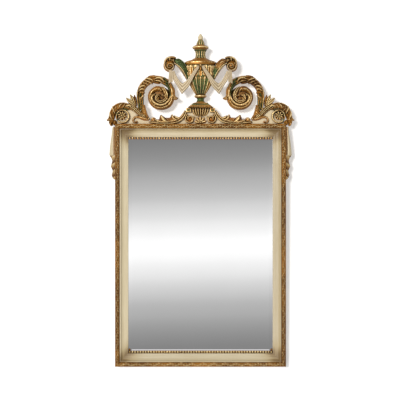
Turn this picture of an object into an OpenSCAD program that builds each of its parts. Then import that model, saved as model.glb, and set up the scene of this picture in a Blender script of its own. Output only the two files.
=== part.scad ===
// Crested wall mirror in the neoclassical manner: a mitred cove frame with a gilt carved edge,
// and an openwork crest of urn, swags, scrolls and leaves standing on its top rail.
// The front faces -Y and the wall is the plane y = 0.
// The origin is on the wall, midway between the two hooks that the mirror hangs from.

/* [Frame] */
// Width over the outer edges of the frame
frame_w = 684; // [560:4:840]
// Height over the outer edges of the frame, without the crest
frame_h = 972; // [800:4:1200]
// Width of each rail and stile, seen from the front
rail_w = 52; // [46:1:70]
// Thickness of the rails at the shelf that carries the gilt edge
shelf_d = 24; // [20:1:30]
// Width of the gilt carved edge
gilt_w = 19; // [14:1:24]
// Height of the gilt edge above its shelf
gilt_rise = 16; // [11:1:22]
// Diameter of one pearl of the bead strings
pearl_dia = 8; // [5:0.5:9]
// Number of pearls in one string
pearl_count = 54; // [36:1:64]

/* [Glass] */
// Thickness of the mirror plate
glass_t = 4; // [3:0.5:6]
// Width of the ground bevel, measured from the edge of the plate
bevel_w = 22; // [9:1:30]
// Depth of the bevel at the edge of the plate
bevel_d = 1.4; // [0.5:0.1:2]
// How far the plate reaches under the lip of the rails
rebate_w = 8; // [6:0.5:10]

/* [Crest] */
// Height of the crest from the top rail to the tip of the bud
crest_h = 364; // [280:4:460]
// Thickness of the backboard that the carvings stand on
board_d = 12; // [8:1:16]
// Relief of the two big scrolls in front of the back plane
scroll_d = 26; // [20:1:34]
// Relief of the urn in front of the back plane
urn_d = 38; // [32:1:48]
// Number of flutes round the front half of the urn
urn_flutes = 9; // [5:1:12]
// Relief of the leaves along the foot of the crest
leaf_d = 30; // [24:1:38]
// Turns of the spiral inside each big scroll
spiral_turns = 1.75; // [1:0.25:2.5]

/* [Side drapery] */
// Length of the carved cloth that hangs beside each stile
drape_len = 214; // [150:2:300]
// How far the cloth stands out past the stile
drape_out = 24; // [14:1:34]
// Number of folds down the cloth
drape_folds = 3; // [2:1:5]

/* [Back and hanging] */
// Thickness of the wall bumpers, which is the gap behind the frame
bumper_h = 9; // [8.5:0.5:14]
// Diameter of a wall bumper
bumper_dia = 20; // [14:1:30]
// Height of the hooks above the lower edge of the frame
hook_rise = 780; // [600:5:880]
// Width of the hanger strap
strap_w = 18; // [14:1:22]
// Wire diameter of the hanger ring
wire_dia = 3.9; // [3:0.1:4.2]

/* [Hidden] */
$fn = 40;
// Gap left where one carving is let in over another piece
fit = 0.25;
// Radial play of the ring's bar in the strap's rolled eye
eye_play = 0.08;
// Depth of the lip's back, where the plate rests, above the back of the frame
seat_d = 17;
// Thickness of the lip at the sight edge
lip_t = 3.5;
// Thickness of the backing board and of the strips that hold it
backing_t = 3;
strip_t = 6;
// The hangers sit on the middle of each stile's back, beside the rebate
hook_span = frame_w - rail_w + rebate_w;
sight_w = frame_w - 2 * rail_w;
sight_h = frame_h - 2 * rail_w;
frame_bottom = -hook_rise;
frame_top = frame_bottom + frame_h;
frame_mid = (frame_bottom + frame_top) / 2;
cove_top = shelf_d + 9;
pearl_pitch = (sight_w - 2) / pearl_count;
// Sizes that the crest and the drapery are drawn at before they are stretched to the frame
drawn_w = 684;
drawn_crest = 364;
crest_kx = frame_w / drawn_w;
crest_kz = crest_h / drawn_crest;
// Place of the ring's hinge line, seen from the frame's back
eye_y = 4;
eye_r = 3.5;
ring_r = strap_w / 2 + wire_dia / 2 + 1.05;
ring_leg = 4;
hook_drop = ring_leg + ring_r - wire_dia / 2;

// Colours
gold = [0.66, 0.47, 0.22];
cream = [0.85, 0.80, 0.67];
green = [0.25, 0.36, 0.2];
pine = [0.72, 0.56, 0.36];
steel = [0.6, 0.6, 0.6];

// Points of a round stretch, from angle a0 to a1, about the centre c
function arc(c, r, a0, a1, steps) =
  [for (i = [0:steps]) let (a = a0 + (a1 - a0) * i / steps) c + r * [cos(a), sin(a)]];

// Value that runs evenly from a to b while t goes from 0 to 1
function mix(a, b, t) = a + (b - a) * t;

// Value of a list of [place, value] steps at the place t, with straight runs between them
function along(steps, t, i = 0) =
  t <= steps[0][0] ? steps[0][1]
  : i >= len(steps) - 1 ? steps[len(steps) - 1][1]
  : t <= steps[i + 1][0]
    ? mix(steps[i][1], steps[i + 1][1], (t - steps[i][0]) / (steps[i + 1][0] - steps[i][0]))
  : along(steps, t, i + 1);

// Point on a smooth curve that passes through the points p, at t from 0 to len(p) - 1
function spline_at(p, t) =
  let (n = len(p), i = min(floor(t), n - 2), f = t - i,
       a = p[max(i - 1, 0)], b = p[i], c = p[i + 1], d = p[min(i + 2, n - 1)])
  0.5 * (2 * b + (c - a) * f + (2 * a - 5 * b + 4 * c - d) * f * f
         + (3 * b - a - 3 * c + d) * f * f * f);
function spline(p, steps) = [for (i = [0:steps]) spline_at(p, i * (len(p) - 1) / steps)];

// Sideways unit vector of a path at point i
function side_of(path, i) =
  let (a = path[max(i - 1, 0)], b = path[min(i + 1, len(path) - 1)], d = b - a)
  [-d.y, d.x] / norm(d);

// Solid through a row of closed rings that have the same number of points
module loft(rings) {
  n = len(rings[0]);
  m = len(rings);
  sides = [for (i = [0:m - 2], j = [0:n - 1])
    let (a = i * n + j, b = i * n + (j + 1) % n)
    each [[a, b, b + n], [a, b + n, a + n]]];
  first = [[for (j = [n - 1:-1:0]) j]];
  last = [[for (j = [0:n - 1]) (m - 1) * n + j]];
  polyhedron([for (r = rings) each r], concat(sides, first, last), convexity = 8);
}

// Height of a carved moulding across its width, t from -1 to 1: a dome cut by v grooves
function carved(t, ribs, cut) =
  (1 - 0.55 * t * t) * (1 - cut * pow(abs(cos(90 * ribs * (t + 1))), 3));

// Carved band along a path in the plane of the front.  w and d are [place, value] steps over
// the path from 0 to 1, for the width and the relief, and back is how far it starts in front
module band(path, w, d, ribs = 3, cut = 0.3, back = 0, across = 6) {
  m = len(path) - 1;
  loft([for (i = [0:m])
    let (q = path[i], s = side_of(path, i), hw = along(w, i / m) / 2, h = along(d, i / m))
    concat(
      [[q.x - s.x * hw, -back, q.y - s.y * hw]],
      [for (k = [0:across])
        let (t = -1 + 2 * k / across, o = t * hw)
        [q.x + s.x * o, -back - (h - back) * carved(t, ribs, cut), q.y + s.y * o]],
      [[q.x + s.x * hw, -back, q.y + s.y * hw]])]);
}

// Petal of a leaf from a to b: width and relief at the root, then at the tip
module petal(a, b, wa, wb, da, db, back = 5) {
  hull() {
    translate([a.x, -back, a.y])
      rotate([90, 0, 0])
        cylinder(h = da - back, r1 = wa / 2, r2 = wa / 3.4, $fn = 5);
    translate([b.x, -back, b.y])
      rotate([90, 0, 0])
        cylinder(h = db - back, r1 = wb / 2, r2 = wb / 4, $fn = 4);
  }
}

// Disc carved as a spiral that winds in to a round eye
module spiral_disc(c, r, d, turns, hand = 1, back = 0, around = 20, rings = 6) {
  eye = 0.2;
  loft(concat(
    [[for (j = [0:around - 1])
      let (a = -360 * j / around)
      [c.x + r * cos(a), -back, c.y + r * sin(a)]]],
    [for (i = [0:rings])
      let (f = mix(1, eye, i / rings))
      [for (j = [0:around - 1])
        let (a = -360 * j / around,
             groove = pow(abs(sin(180 * turns * (f - eye) / (1 - eye) + hand * a / 2)), 0.7),
             lift = i == rings ? 1 : mix(0.62, 0.95, groove))
        [c.x + r * f * cos(a), -back - (d - back) * lift * (1 - 0.35 * f * f),
         c.y + r * f * sin(a)]]]));
}

// Both sides of the crest from one drawing of its right half
module on_side(side) {
  mirror([side < 0 ? 1 : 0, 0, 0])
    children();
}

// Crest space: x from the centre line, z up from the top rail, y = 0 on the frame's back plane
module in_crest() {
  translate([0, -bumper_h, frame_top])
    scale([crest_kx, 1, crest_kz])
      children();
}

// Frame

// Section of a rail: x runs in from the outer edge, y runs forward from the back
function rail_section() = concat(
  [[0, 0], [rail_w - rebate_w, 0], [rail_w - rebate_w, seat_d], [rail_w, seat_d],
   [rail_w, seat_d + lip_t], [rail_w - 9, seat_d + lip_t + 1.5]],
  [for (q = arc([rail_w - 10, cove_top + 2], 1, -90, -180, 14))
    [rail_w - 10 + (q.x - rail_w + 10) * (rail_w - gilt_w - 14),
     cove_top + (q.y - cove_top - 2) * (cove_top - seat_d - lip_t - 2)]],
  [[gilt_w, cove_top], [gilt_w, shelf_d], [0, shelf_d]]);

// Section of the gilt edge: a half round between two fillets, standing on the shelf
function gilt_section() = concat(
  [[0, 0], [gilt_w, 0], [gilt_w, gilt_rise * 0.62], [gilt_w * 0.86, gilt_rise * 0.62]],
  [for (q = arc([0, 0], 1, 10, 170, 10))
    [gilt_w * (0.48 + 0.36 * q.x), gilt_rise * (0.5 + 0.5 * q.y)]],
  [[gilt_w * 0.08, gilt_rise * 0.46], [0, gilt_rise * 0.46]]);

// Straight run of a section along X with its outer edge on z = 0, mitred over the width w
module mitred_run(len, w, section) {
  intersection() {
    translate([-len / 2, 0, 0])
      rotate([90, 0, 90])
        linear_extrude(len)
          polygon([for (q = section) [-q.y, -q.x]]);
    rotate([90, 0, 0])
      linear_extrude(200, center = true)
        polygon([[-len / 2, 0], [len / 2, 0], [len / 2 - w - 20, -w - 20],
                 [w + 20 - len / 2, -w - 20]]);
  }
}

// Puts a run on one side of the frame: 0 top, 90 right, 180 bottom, 270 left
module on_edge(turn, lift = 0) {
  upright = turn == 90 || turn == 270;
  reach = upright ? frame_w / 2 : frame_h / 2;
  translate([0, -bumper_h - lift, frame_mid])
    rotate([0, turn, 0])
      translate([0, 0, reach])
        children();
}

module rail(turn) {
  upright = turn == 90 || turn == 270;
  color(cream)
    difference() {
      on_edge(turn)
        mitred_run(upright ? frame_h : frame_w, rail_w, rail_section());
      screw_holes();
    }
}

module top_rail() {
  rail(0);
}

module bottom_rail() {
  rail(180);
}

module right_stile() {
  rail(90);
}

module left_stile() {
  rail(270);
}

module gilt_edge(turn) {
  upright = turn == 90 || turn == 270;
  color(gold)
    on_edge(turn, shelf_d)
      mitred_run(upright ? frame_h : frame_w, gilt_w, gilt_section());
}

// One pearl: a little less than half a ball on a flat back
module pearl() {
  rotate([90, 0, 0])
    rotate_extrude($fn = 24)
      intersection() {
        circle(pearl_dia / 2, $fn = 24);
        square([pearl_dia, pearl_dia]);
      }
}

// String of pearls on a thin slip that lies on the glass inside the sight edge.  The lower
// string turns up each stile for two pearls
module pearl_string(up) {
  slip_w = pearl_dia + 1;
  slip_t = 2.2;
  edge = frame_mid + up * sight_h / 2;
  glass = -bumper_h - seat_d;
  half = sight_w / 2 - fit;
  color(gold) {
    translate([-half, glass - slip_t, up > 0 ? edge - slip_w - fit : edge + fit])
      cube([2 * half, slip_t, slip_w]);
    for (i = [0:pearl_count - 1])
      translate([(i + 0.5 - pearl_count / 2) * pearl_pitch, glass - slip_t,
                 edge - up * (slip_w / 2 + fit)])
        pearl();
    if (up < 0)
      for (s = [-1, 1]) {
        translate([s > 0 ? half - slip_w : -half, glass - slip_t, edge + fit + slip_w])
          cube([slip_w, slip_t, 2 * pearl_pitch]);
        for (k = [1, 2])
          translate([s * (half - slip_w / 2), glass - slip_t,
                     edge + fit + slip_w / 2 + k * pearl_pitch])
            pearl();
      }
  }
}

module mirror_plate() {
  w = sight_w + 2 * rebate_w - 3;
  h = sight_h + 2 * rebate_w - 3;
  front = -bumper_h - seat_d;
  slope = atan(bevel_d / bevel_w);
  color([0.75, 0.78, 0.8])
    difference() {
      translate([-w / 2, front, frame_mid - h / 2])
        cube([w, glass_t, h]);
      for (s = [-1, 1]) {
        translate([s * (w / 2 - bevel_w), front, frame_mid])
          rotate([0, 0, s * slope])
            translate([s * bevel_w, -2, 0])
              cube([2 * bevel_w + 4, 4, h + 9], center = true);
        translate([0, front, frame_mid + s * (h / 2 - bevel_w)])
          rotate([-s * slope, 0, 0])
            translate([0, -2, s * bevel_w])
              cube([w + 9, 4, 2 * bevel_w + 4], center = true);
      }
    }
}

module backing_board() {
  w = sight_w + 2 * rebate_w - 3;
  h = sight_h + 2 * rebate_w - 3;
  color(pine)
    translate([-w / 2, -bumper_h - seat_d + glass_t, frame_mid - h / 2])
      cube([w, backing_t, h]);
}

// Four loose strips that hold the board and the plate in the rebate
module retaining_strips() {
  w = sight_w + 2 * rebate_w - 1;
  h = sight_h + 2 * rebate_w - 1;
  wide = 12;
  depth = bumper_h + seat_d - glass_t - backing_t;
  color(pine)
    for (s = [-1, 1]) {
      translate([-w / 2, -depth, frame_mid + (s > 0 ? h / 2 - wide : -h / 2)])
        cube([w, strip_t, wide]);
      translate([s > 0 ? w / 2 - wide : -w / 2, -depth, frame_mid - h / 2 + wide])
        cube([wide, strip_t, h - 2 * wide]);
    }
}

// Places of the brace screws on one corner, measured from the corner along both rails
brace_len = 70;
brace_t = 1.5;
brace_w = 20;
brace_inset = 10;
brace_holes = [brace_len * 0.43, brace_len * 0.86];

// Flat steel corner pieces over the mitres
module corner_brace(sx, sz) {
  color(steel)
    difference() {
      translate([sx * frame_w / 2, -bumper_h, frame_mid + sz * frame_h / 2])
        mirror([sx > 0 ? 1 : 0, 0, 0])
          mirror([0, 0, sz > 0 ? 1 : 0])
            translate([brace_inset, 0, brace_inset]) {
              cube([brace_len, brace_t, brace_w]);
              cube([brace_w, brace_t, brace_len]);
            }
      screw_holes();
    }
}

module corner_braces() {
  for (sx = [-1, 1], sz = [-1, 1])
    corner_brace(sx, sz);
}

// Low headed wood screw with its axis on Y: the head's underside lies at y = 0
module screw(r = 1.9, len = 12, head_r = 3.6, head_h = 1.1) {
  color(steel) {
    rotate([-90, 0, 0])
      cylinder(h = head_h, r1 = head_r, r2 = head_r * 0.6);
    rotate([90, 0, 0])
      cylinder(h = len, r = r);
  }
}

// Centres of every screw in the back, as [x, z] with the height of the head above the frame
brace_spots = [for (sx = [-1, 1], sz = [-1, 1], q = brace_holes, flat = [true, false])
  [sx * (frame_w / 2 - brace_inset - (flat ? q : brace_w / 2)),
   frame_mid + sz * (frame_h / 2 - brace_inset - (flat ? brace_w / 2 : q)), brace_t]];
// The straps of the crest stand beside the corner pieces, with a gap between them
crest_strap_t = 3;
crest_strap_w = 18;
crest_strap_gap = 3;
crest_strap_foot = rail_w - rebate_w - 2;
crest_strap_rise = 36 * crest_kz;
crest_strap_x = frame_w / 2 - brace_inset - brace_len - crest_strap_gap - crest_strap_w / 2;
crest_screws = [8 - crest_strap_foot, 30 - crest_strap_foot, crest_strap_rise * 0.6];
crest_spots = [for (s = [-1, 1], z = crest_screws)
  [s * crest_strap_x, frame_top + z, crest_strap_t]];
batten_t = 5;
batten_w = 28;
batten_spots = [for (z = crest_screws) [0, frame_top + z, batten_t]];
hanger_spots = [for (s = [-1, 1], z = [-24, -36]) [s * hook_span / 2, -hook_drop + z, 1.5]];

// Drilled holes for all of those screws, cut through straps and into the wood
module screw_holes() {
  for (q = concat(brace_spots, crest_spots, batten_spots, hanger_spots))
    translate([q.x, -bumper_h + 8, q.y])
      rotate([90, 0, 0])
        cylinder(h = 8 + 10.5, r = 2);
}

module screws_at(spots) {
  for (q = spots)
    translate([q.x, -bumper_h + q.z, q.y])
      screw(len = q.z + 9);
}

module brace_screws() {
  screws_at(brace_spots);
}

module strap_screws() {
  screws_at(crest_spots);
}

module batten_screws() {
  screws_at(batten_spots);
}

module hanger_screws() {
  screws_at(hanger_spots);
}

// Steel straps that tie the crest board to the top rail
module crest_straps() {
  color(steel)
    difference() {
      for (s = [-1, 1])
        translate([s * crest_strap_x - crest_strap_w / 2, -bumper_h,
                   frame_top - crest_strap_foot])
          cube([crest_strap_w, crest_strap_t, crest_strap_foot + crest_strap_rise]);
      screw_holes();
    }
}

// Upright batten behind the urn
module urn_batten() {
  color(pine)
    difference() {
      translate([-batten_w / 2, -bumper_h, frame_top - crest_strap_foot])
        cube([batten_w, batten_t, crest_strap_foot + 236 * crest_kz]);
      screw_holes();
    }
}

// Strap with a rolled eye, in its own space: eye centre at the origin, screwed face at y = -4
module hanger_strap(s) {
  color(steel)
    difference() {
      translate([s * hook_span / 2, -bumper_h + eye_y, -hook_drop]) {
        difference() {
          union() {
            rotate([0, 90, 0])
              cylinder(h = strap_w, r = eye_r, center = true);
            translate([-strap_w / 2, -eye_y, -44])
              cube([strap_w, 1.5, 44]);
            translate([-strap_w / 2, -eye_y, -eye_r])
              cube([strap_w, eye_y - wire_dia / 2 - 0.6, eye_r]);
          }
          rotate([0, 90, 0])
            cylinder(h = strap_w + 2, r = wire_dia / 2 + eye_play, center = true);
        }
      }
      screw_holes();
    }
}

// D ring: a straight bar in the eye, two legs and a half round bow
module hanger_ring(s) {
  color(steel)
    translate([s * hook_span / 2, -bumper_h + eye_y, -hook_drop]) {
      rotate([0, 90, 0])
        cylinder(h = 2 * ring_r, d = wire_dia, center = true);
      for (e = [-1, 1])
        translate([e * ring_r, 0, 0]) {
          sphere(d = wire_dia);
          translate([0, 0, -ring_leg])
            cylinder(h = ring_leg, d = wire_dia);
        }
      translate([0, 0, -ring_leg])
        rotate([90, 0, 0])
          rotate([0, 0, 180])
            rotate_extrude(angle = 180)
              translate([ring_r, 0])
                circle(d = wire_dia);
    }
}

// Rubber bumper near the foot of each stile
module bumper(s) {
  color([0.2, 0.2, 0.2])
    translate([s * (frame_w / 2 - rail_w / 2), 0, frame_bottom + 130])
      rotate([90, 0, 0])
        cylinder(h = bumper_h, d1 = bumper_dia, d2 = bumper_dia + 3);
}

// Crest: everything below is drawn for the right half, in crest space

// Upper outline of the backboard's right half, with a shoulder for the pedestal
board_line = concat([[0, 64], [57, 64]],
  spline([[58, 46], [68, 30], [88, 15], [120, 9], [160, 9], [196, 10], [218, 24], [240, 48],
          [266, 62], [296, 62], [320, 48], [332, 24], [336, 0]], 20));

// The backboard with its outline grown by some play, for letting the carvings in over it
module board_blank(play = 0) {
  rotate([90, 0, 0])
    translate([0, 0, -play])
      linear_extrude(board_d + 2 * play)
        offset(delta = play)
          polygon(concat(board_line, [for (i = [len(board_line) - 1:-1:1])
            [-board_line[i].x, board_line[i].y]]));
}

module crest_board() {
  color(cream)
    difference() {
      in_crest()
        rotate([90, 0, 0])
          linear_extrude(board_d)
            polygon(concat(board_line, [for (i = [len(board_line) - 1:-1:1])
              [-board_line[i].x, board_line[i].y]]));
      screw_holes();
    }
}

// Moulded block under the urn, with two small side blocks
module pedestal() {
  color(gold)
    in_crest() {
      rotate([90, 0, 0])
        linear_extrude(urn_d)
          polygon([[-49, 64], [49, 64], [49, 66], [45, 70.5], [41, 74], [36, 78], [31, 84],
                   [-31, 84], [-36, 78], [-41, 74], [-45, 70.5], [-49, 66]]);
      for (s = [-1, 1])
        translate([s * 47 - 10, -board_d - 16, 47])
          cube([20, 16, 17]);
    }
}

// Shell of gadroons under the pedestal
module gadroon_shell() {
  lobes = 8;
  color(gold)
    in_crest()
      for (i = [0:lobes - 1])
        let (t = (i + 0.5) / lobes * 2 - 1, d = board_d + mix(8, 20, 1 - t * t))
        petal([t * 30, 59], [t * 17, 37], 9, 6, d, d - 7, board_d);
}

// Five lobed leaf between the pedestal scrolls
module palmette() {
  color(gold)
    in_crest()
      for (i = [-2:2])
        let (a = 90 - i * 34, reach = 26 - abs(i) * 2.5,
             tip = [reach * cos(a), 4 + reach * sin(a)], bend = [0, 4] + (tip - [0, 4]) * 0.55) {
          petal([0, 5], bend, 8, 10, board_d + 14, board_d + 12, board_d);
          petal(bend, tip, 10, 4, board_d + 12, board_d + 8, board_d);
        }
}

// Half widths of the turned parts of the urn, as [height, half width]
foot_line = [[84, 28], [87, 21], [92, 16], [98, 14.4], [104, 17], [107, 23], [110, 24.5],
             [116, 24], [118, 20]];
lid_line = [[264, 25], [269, 22], [278, 20], [288, 20.5], [294, 22], [297, 25], [300, 31],
            [304, 33], [309, 31], [314, 25], [319, 17]];
bud_line = [[319, 15], [325, 16.5], [334, 13], [340, 8.5], [346, 10], [353, 9.6], [359, 5.6],
            [364, 0]];
body_line = [[118, 19], [134, 29], [156, 41.5], [190, 54], [194, 57.5], [200, 56],
             [220, 57.5], [238, 59], [240, 62], [243, 65], [248, 64], [252, 57], [257, 42],
             [260, 33], [264, 28]];

// Half round turning from a line of [height, half width]
module half_turned(line) {
  rotate([0, 0, 180])
    rotate_extrude(angle = 180)
      polygon(concat([[0, line[0][0]]], [for (q = line) [q[1], q[0]]],
                     [[0, line[len(line) - 1][0]]]));
}

module urn_foot() {
  color(gold)
    in_crest()
      half_turned(foot_line);
}

module urn_lid() {
  color(gold)
    in_crest()
      half_turned(lid_line);
}

module bud_finial() {
  color(cream)
    in_crest()
      half_turned(bud_line);
}

// Share of the half width that the flutes and the cup of leaves cut away at height z
function flute(a, z) =
  let (u = cos(2 * urn_flutes * a))
  z > 238 ? 0
  : z > 198 ? 0.07 * (0.5 + 0.5 * u)
  : z > 190 ? 0
  : mix(0.03, 0.1, (190 - z) / 72) * (0.5 + 0.5 * u);

// Depth of the urn at a half width: fully round at the foot, flattened at the shoulder
function urn_depth(r) = r * mix(1, urn_d / 65, min(1, max(0, (r - 19) / 46)));

// Urn body: a half round loft with a flat back, fluted above and gadrooned below
module urn_blank(play = 0, steps = 36, plain = false) {
  loft([for (q = body_line)
    let (r = q[1] + play)
    [for (i = [0:steps])
      let (a = 180 * i / steps, cut = plain ? 0 : flute(a, q[0]))
      [r * (1 - cut) * cos(a), -urn_depth(r) * (1 - cut) * sin(a), q[0]]]]);
}

module urn_body() {
  color(green)
    in_crest()
      urn_blank(steps = 4 * urn_flutes);
}

// Round boss that the two swags hang from
module urn_boss() {
  front = urn_depth(57) + 1.5;
  color(gold)
    in_crest()
      translate([0, -front, 231])
        rotate([90, 0, 0]) {
          cylinder(h = 13, r1 = 7, r2 = 8.5);
          translate([0, 0, 13])
            cylinder(h = 4, r1 = 8.5, r2 = 4);
        }
}

// Line of the handle's arm, from the belly of the urn up to the volute
handle_line = [[50, 176], [56, 194], [63, 212], [72, 229], [83, 243], [97, 253], [113, 257],
               [127, 254], [137, 244]];
volute = [126, 232.5];
volute_r = 21.5;

module handle_blank(play = 0) {
  band(spline(handle_line, 9), [[0, 6 + play], [0.3, 22 + play], [0.6, 30], [0.85, 26], [1, 14]],
       [[0, 20 + play], [0.5, 27 + play], [1, 24 + play]], ribs = 2, cut = 0.35);
  spiral_disc(volute, volute_r + play, 34 + play, 1.5, -1, 0, 18, 5);
}

// Raised fillet along a path, made of short rounded pieces
module fillet(path, r, d) {
  for (i = [0:len(path) - 2])
    hull()
      for (q = [path[i], path[i + 1]])
        translate([q.x, 0, q.y])
          rotate([90, 0, 0])
            cylinder(h = d, r1 = r, r2 = r * 0.5, $fn = 6);
}

module handle(side) {
  edge = spline([[60, 190], [69, 206], [79, 222], [90, 233], [102, 239]], 8);
  color(green)
    in_crest()
      on_side(side)
        difference() {
          union() {
            handle_blank();
            fillet(edge, 2.4, 28);
          }
          urn_blank(fit, 16, true);
        }
}

// Swag: three pleats from the boss down to the fold, then up to the volute
swag_top = [[7, 219], [8, 225], [9, 231]];
swag_half = [[38, 173], [39.5, 180], [41, 187]];
swag_fold = [[72.5, 125], [71.5, 140], [70.5, 155]];
swag_rise = [[96, 158], [92, 167], [88, 178]];
swag_end = [[116, 197], [111, 203], [106, 209]];

// One pleat between two points of the cloth, with its relief at both
module pleat(a, b, da, db, r = 5.5, thick = 15) {
  hull() {
    translate([a.x, thick - da, a.y])
      rotate([90, 0, 0])
        cylinder(h = thick, r1 = r, r2 = r * 0.45, $fn = 8);
    translate([b.x, thick - db, b.y])
      rotate([90, 0, 0])
        cylinder(h = thick, r1 = r, r2 = r * 0.45, $fn = 8);
  }
}

module swag(side) {
  front = urn_depth(57) + 13;
  color(cream)
    in_crest()
      on_side(side)
        difference() {
          for (i = [0:2]) {
            pleat(swag_top[i], swag_half[i], front, front - 3);
            pleat(swag_half[i], swag_fold[i], front - 3, 30);
            pleat(swag_fold[i], swag_rise[i], 30, 28);
            pleat(swag_rise[i], swag_end[i], 28, 28);
          }
          urn_blank(2 * fit, 36, true);
          handle_blank(fit);
          translate([0, -urn_depth(57) + 2, 231])
            rotate([90, 0, 0])
              cylinder(h = 40, r = 9);
        }
}

// Loose end of the cloth below the handle's volute
module swag_tail(side) {
  folds = 4;
  color(cream)
    in_crest()
      on_side(side)
        difference() {
          for (i = [0:folds - 1])
            let (t = i / (folds - 1), top = [mix(113, 123, t), mix(214, 218, t)],
                 knee = [mix(112, 125, t), 190], foot = [mix(112, 127, t), mix(168, 172, t)],
                 d = scroll_d + 8 + 1.5 * (i % 2)) {
              pleat(top, knee, d, d, 4, d - scroll_d - 1 - fit);
              pleat(knee, foot, d, d, 4, d - scroll_d - 1 - fit);
            }
          handle_blank(fit);
          swag_space();
        }
}

// Room that the swag's rising arm takes, for the tail to clear
module swag_space() {
  for (i = [0:2])
    hull()
      for (q = [swag_rise[i], swag_end[i]])
        translate([q.x, 20, q.y])
          rotate([90, 0, 0])
            cylinder(h = 60, r = 5.5 + fit, $fn = 8);
}

// Big scroll.  The arch springs from the stalk, and its end winds in round the spiral disc
arch_c = [177.2, 116];
arch_r = 65.2;
eye_c = [164, 105.5];
stalk = [[238, 58], [241, 80], [242.4, 100]];

// Middle line of the scroll: stalk, half round arch, then a narrowing turn about the disc
function scroll_line() = concat(
  spline(stalk, 2),
  arc(arch_c, arch_r, 0, 172, 11),
  [for (i = [1:10])
    let (a = 180 + i * 270 / 10, r = 38.5 + 11 * pow(1 - min(1, i / 5), 1.5) + max(0, i - 7))
    eye_c + r * [cos(a), sin(a)]]);

scroll_w = [[0, 24], [0.15, 28], [0.35, 29], [0.55, 26], [0.65, 22], [0.78, 18], [0.95, 14],
            [1, 9]];

// Acanthus leaf lying on the arch: angle of its root, reach round the arch, size
module arch_leaf(a, reach, size) {
  root = arch_c + (arch_r + 2) * [cos(a), sin(a)];
  for (k = [-1:1])
    let (b = a + reach * (1 - 0.25 * abs(k)), off = k < 0 ? size * 0.38 : -k * size * 0.62 - 4,
         tip = arch_c + (arch_r + off) * [cos(b), sin(b)])
    petal(root, tip, size, size * 0.62, scroll_d + 1, scroll_d - 3);
}

module scroll_blank(play = 0) {
  band(scroll_line(), [for (q = scroll_w) [q[0], q[1] + 2 * play]],
       [[0, scroll_d - 6 + play], [0.2, scroll_d + play], [0.8, scroll_d - 2 + play],
        [1, scroll_d - 8 + play]], ribs = 3, cut = 0.28, across = 5);
}

module scroll(side) {
  color(gold)
    in_crest()
      on_side(side)
        difference() {
          union() {
            scroll_blank();
            spiral_disc(eye_c, 38, scroll_d + 6, spiral_turns, 1, 0, 18, 6);
            for (q = [[22, 26, 20], [56, 26, 22], [92, 28, 21], [128, 26, 18]])
              arch_leaf(q[0], q[1], q[2]);
            petal([108, 112], [98, 104], 15, 9, scroll_d - 6, scroll_d - 9);
            petal([98, 104], [90, 104.5], 9, 4, scroll_d - 9, scroll_d - 12);
          }
          board_blank(fit);
        }
}

// Outer corner: a ring with a rosette in it and a curling acanthus leaf over it
ring_c = [315, 32];
ring_outer = 31.5;
rosette_r = 22;
over_leaf = [[287, 62], [300, 73], [322, 75], [341, 64], [352, 46], [356, 28], [359, 13]];
corner_cut = 287;

module corner_ring() {
  translate([ring_c.x, 0, ring_c.y])
    rotate([90, 0, 0]) {
      cylinder(h = leaf_d - 14, r = ring_outer - 3, $fn = 18);
      translate([0, 0, leaf_d - 14])
        rotate_extrude($fn = 18)
          translate([ring_outer - 4.5, 0])
            scale([4.5, 9])
              circle(1, $fn = 6);
    }
}

module corner_volute(side) {
  lobes = 7;
  color(gold)
    in_crest()
      on_side(side)
        difference() {
          union() {
            corner_ring();
            band(spline(over_leaf, 8), [[0, 20], [0.3, 23], [0.8, 18], [1, 9]],
                 [[0, leaf_d], [0.4, leaf_d + 5], [1, leaf_d - 8]], ribs = 3, cut = 0.35,
                 across = 5);
            for (i = [0:lobes - 1])
              let (t = mix(0.16, 0.92, i / (lobes - 1)),
                   p = spline_at(over_leaf, t * (len(over_leaf) - 1)),
                   q = spline_at(over_leaf, min(1, t + 0.1) * (len(over_leaf) - 1)),
                   out = (q - ring_c) / norm(q - ring_c))
              petal(p, q + out * mix(9, 17, t * t), 15, 7, leaf_d, leaf_d - 10);
            petal([358, 24], [353, 0], 12, 6, leaf_d - 8, leaf_d - 14);
          }
          board_blank(fit);
          rail_room();
          translate([corner_cut - 200, -200, -100])
            cube([200, 400, 300]);
        }
}

// Room of the frame below the crest, so that what hangs past its corner clears it
module rail_room() {
  translate([-drawn_w, -200, -100])
    cube([drawn_w * 1.5 + fit, 400, 100 + fit / 2]);
}

// Flower in the ring: petals round a cluster of small balls
module corner_rosette(side) {
  petals = 8;
  face = leaf_d - 14 + fit;
  color(gold)
    in_crest()
      on_side(side)
        translate([ring_c.x, 0, ring_c.y]) {
          for (i = [0:petals - 1])
            let (a = 360 * i / petals)
            petal([6 * cos(a), 6 * sin(a)], [16.5 * cos(a), 16.5 * sin(a)], 9, 9,
                  face + 9, face + 6, face);
          translate([0, -face, 0])
            rotate([90, 0, 0])
              cylinder(h = 13, r1 = 8, r2 = 4, $fn = 8);
        }
}

// Spray at the foot of the scroll: leaf tips, a ribbed stem that ends in a calyx, a small curl
stem_line = [[294, 84], [280, 76], [262, 62], [244, 46], [226, 32], [210, 24]];
curl_line = [[212, 16], [228, 27], [246, 33], [262, 30], [270, 20], [266, 10], [256, 6]];
inner_cut = 203;

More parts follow.
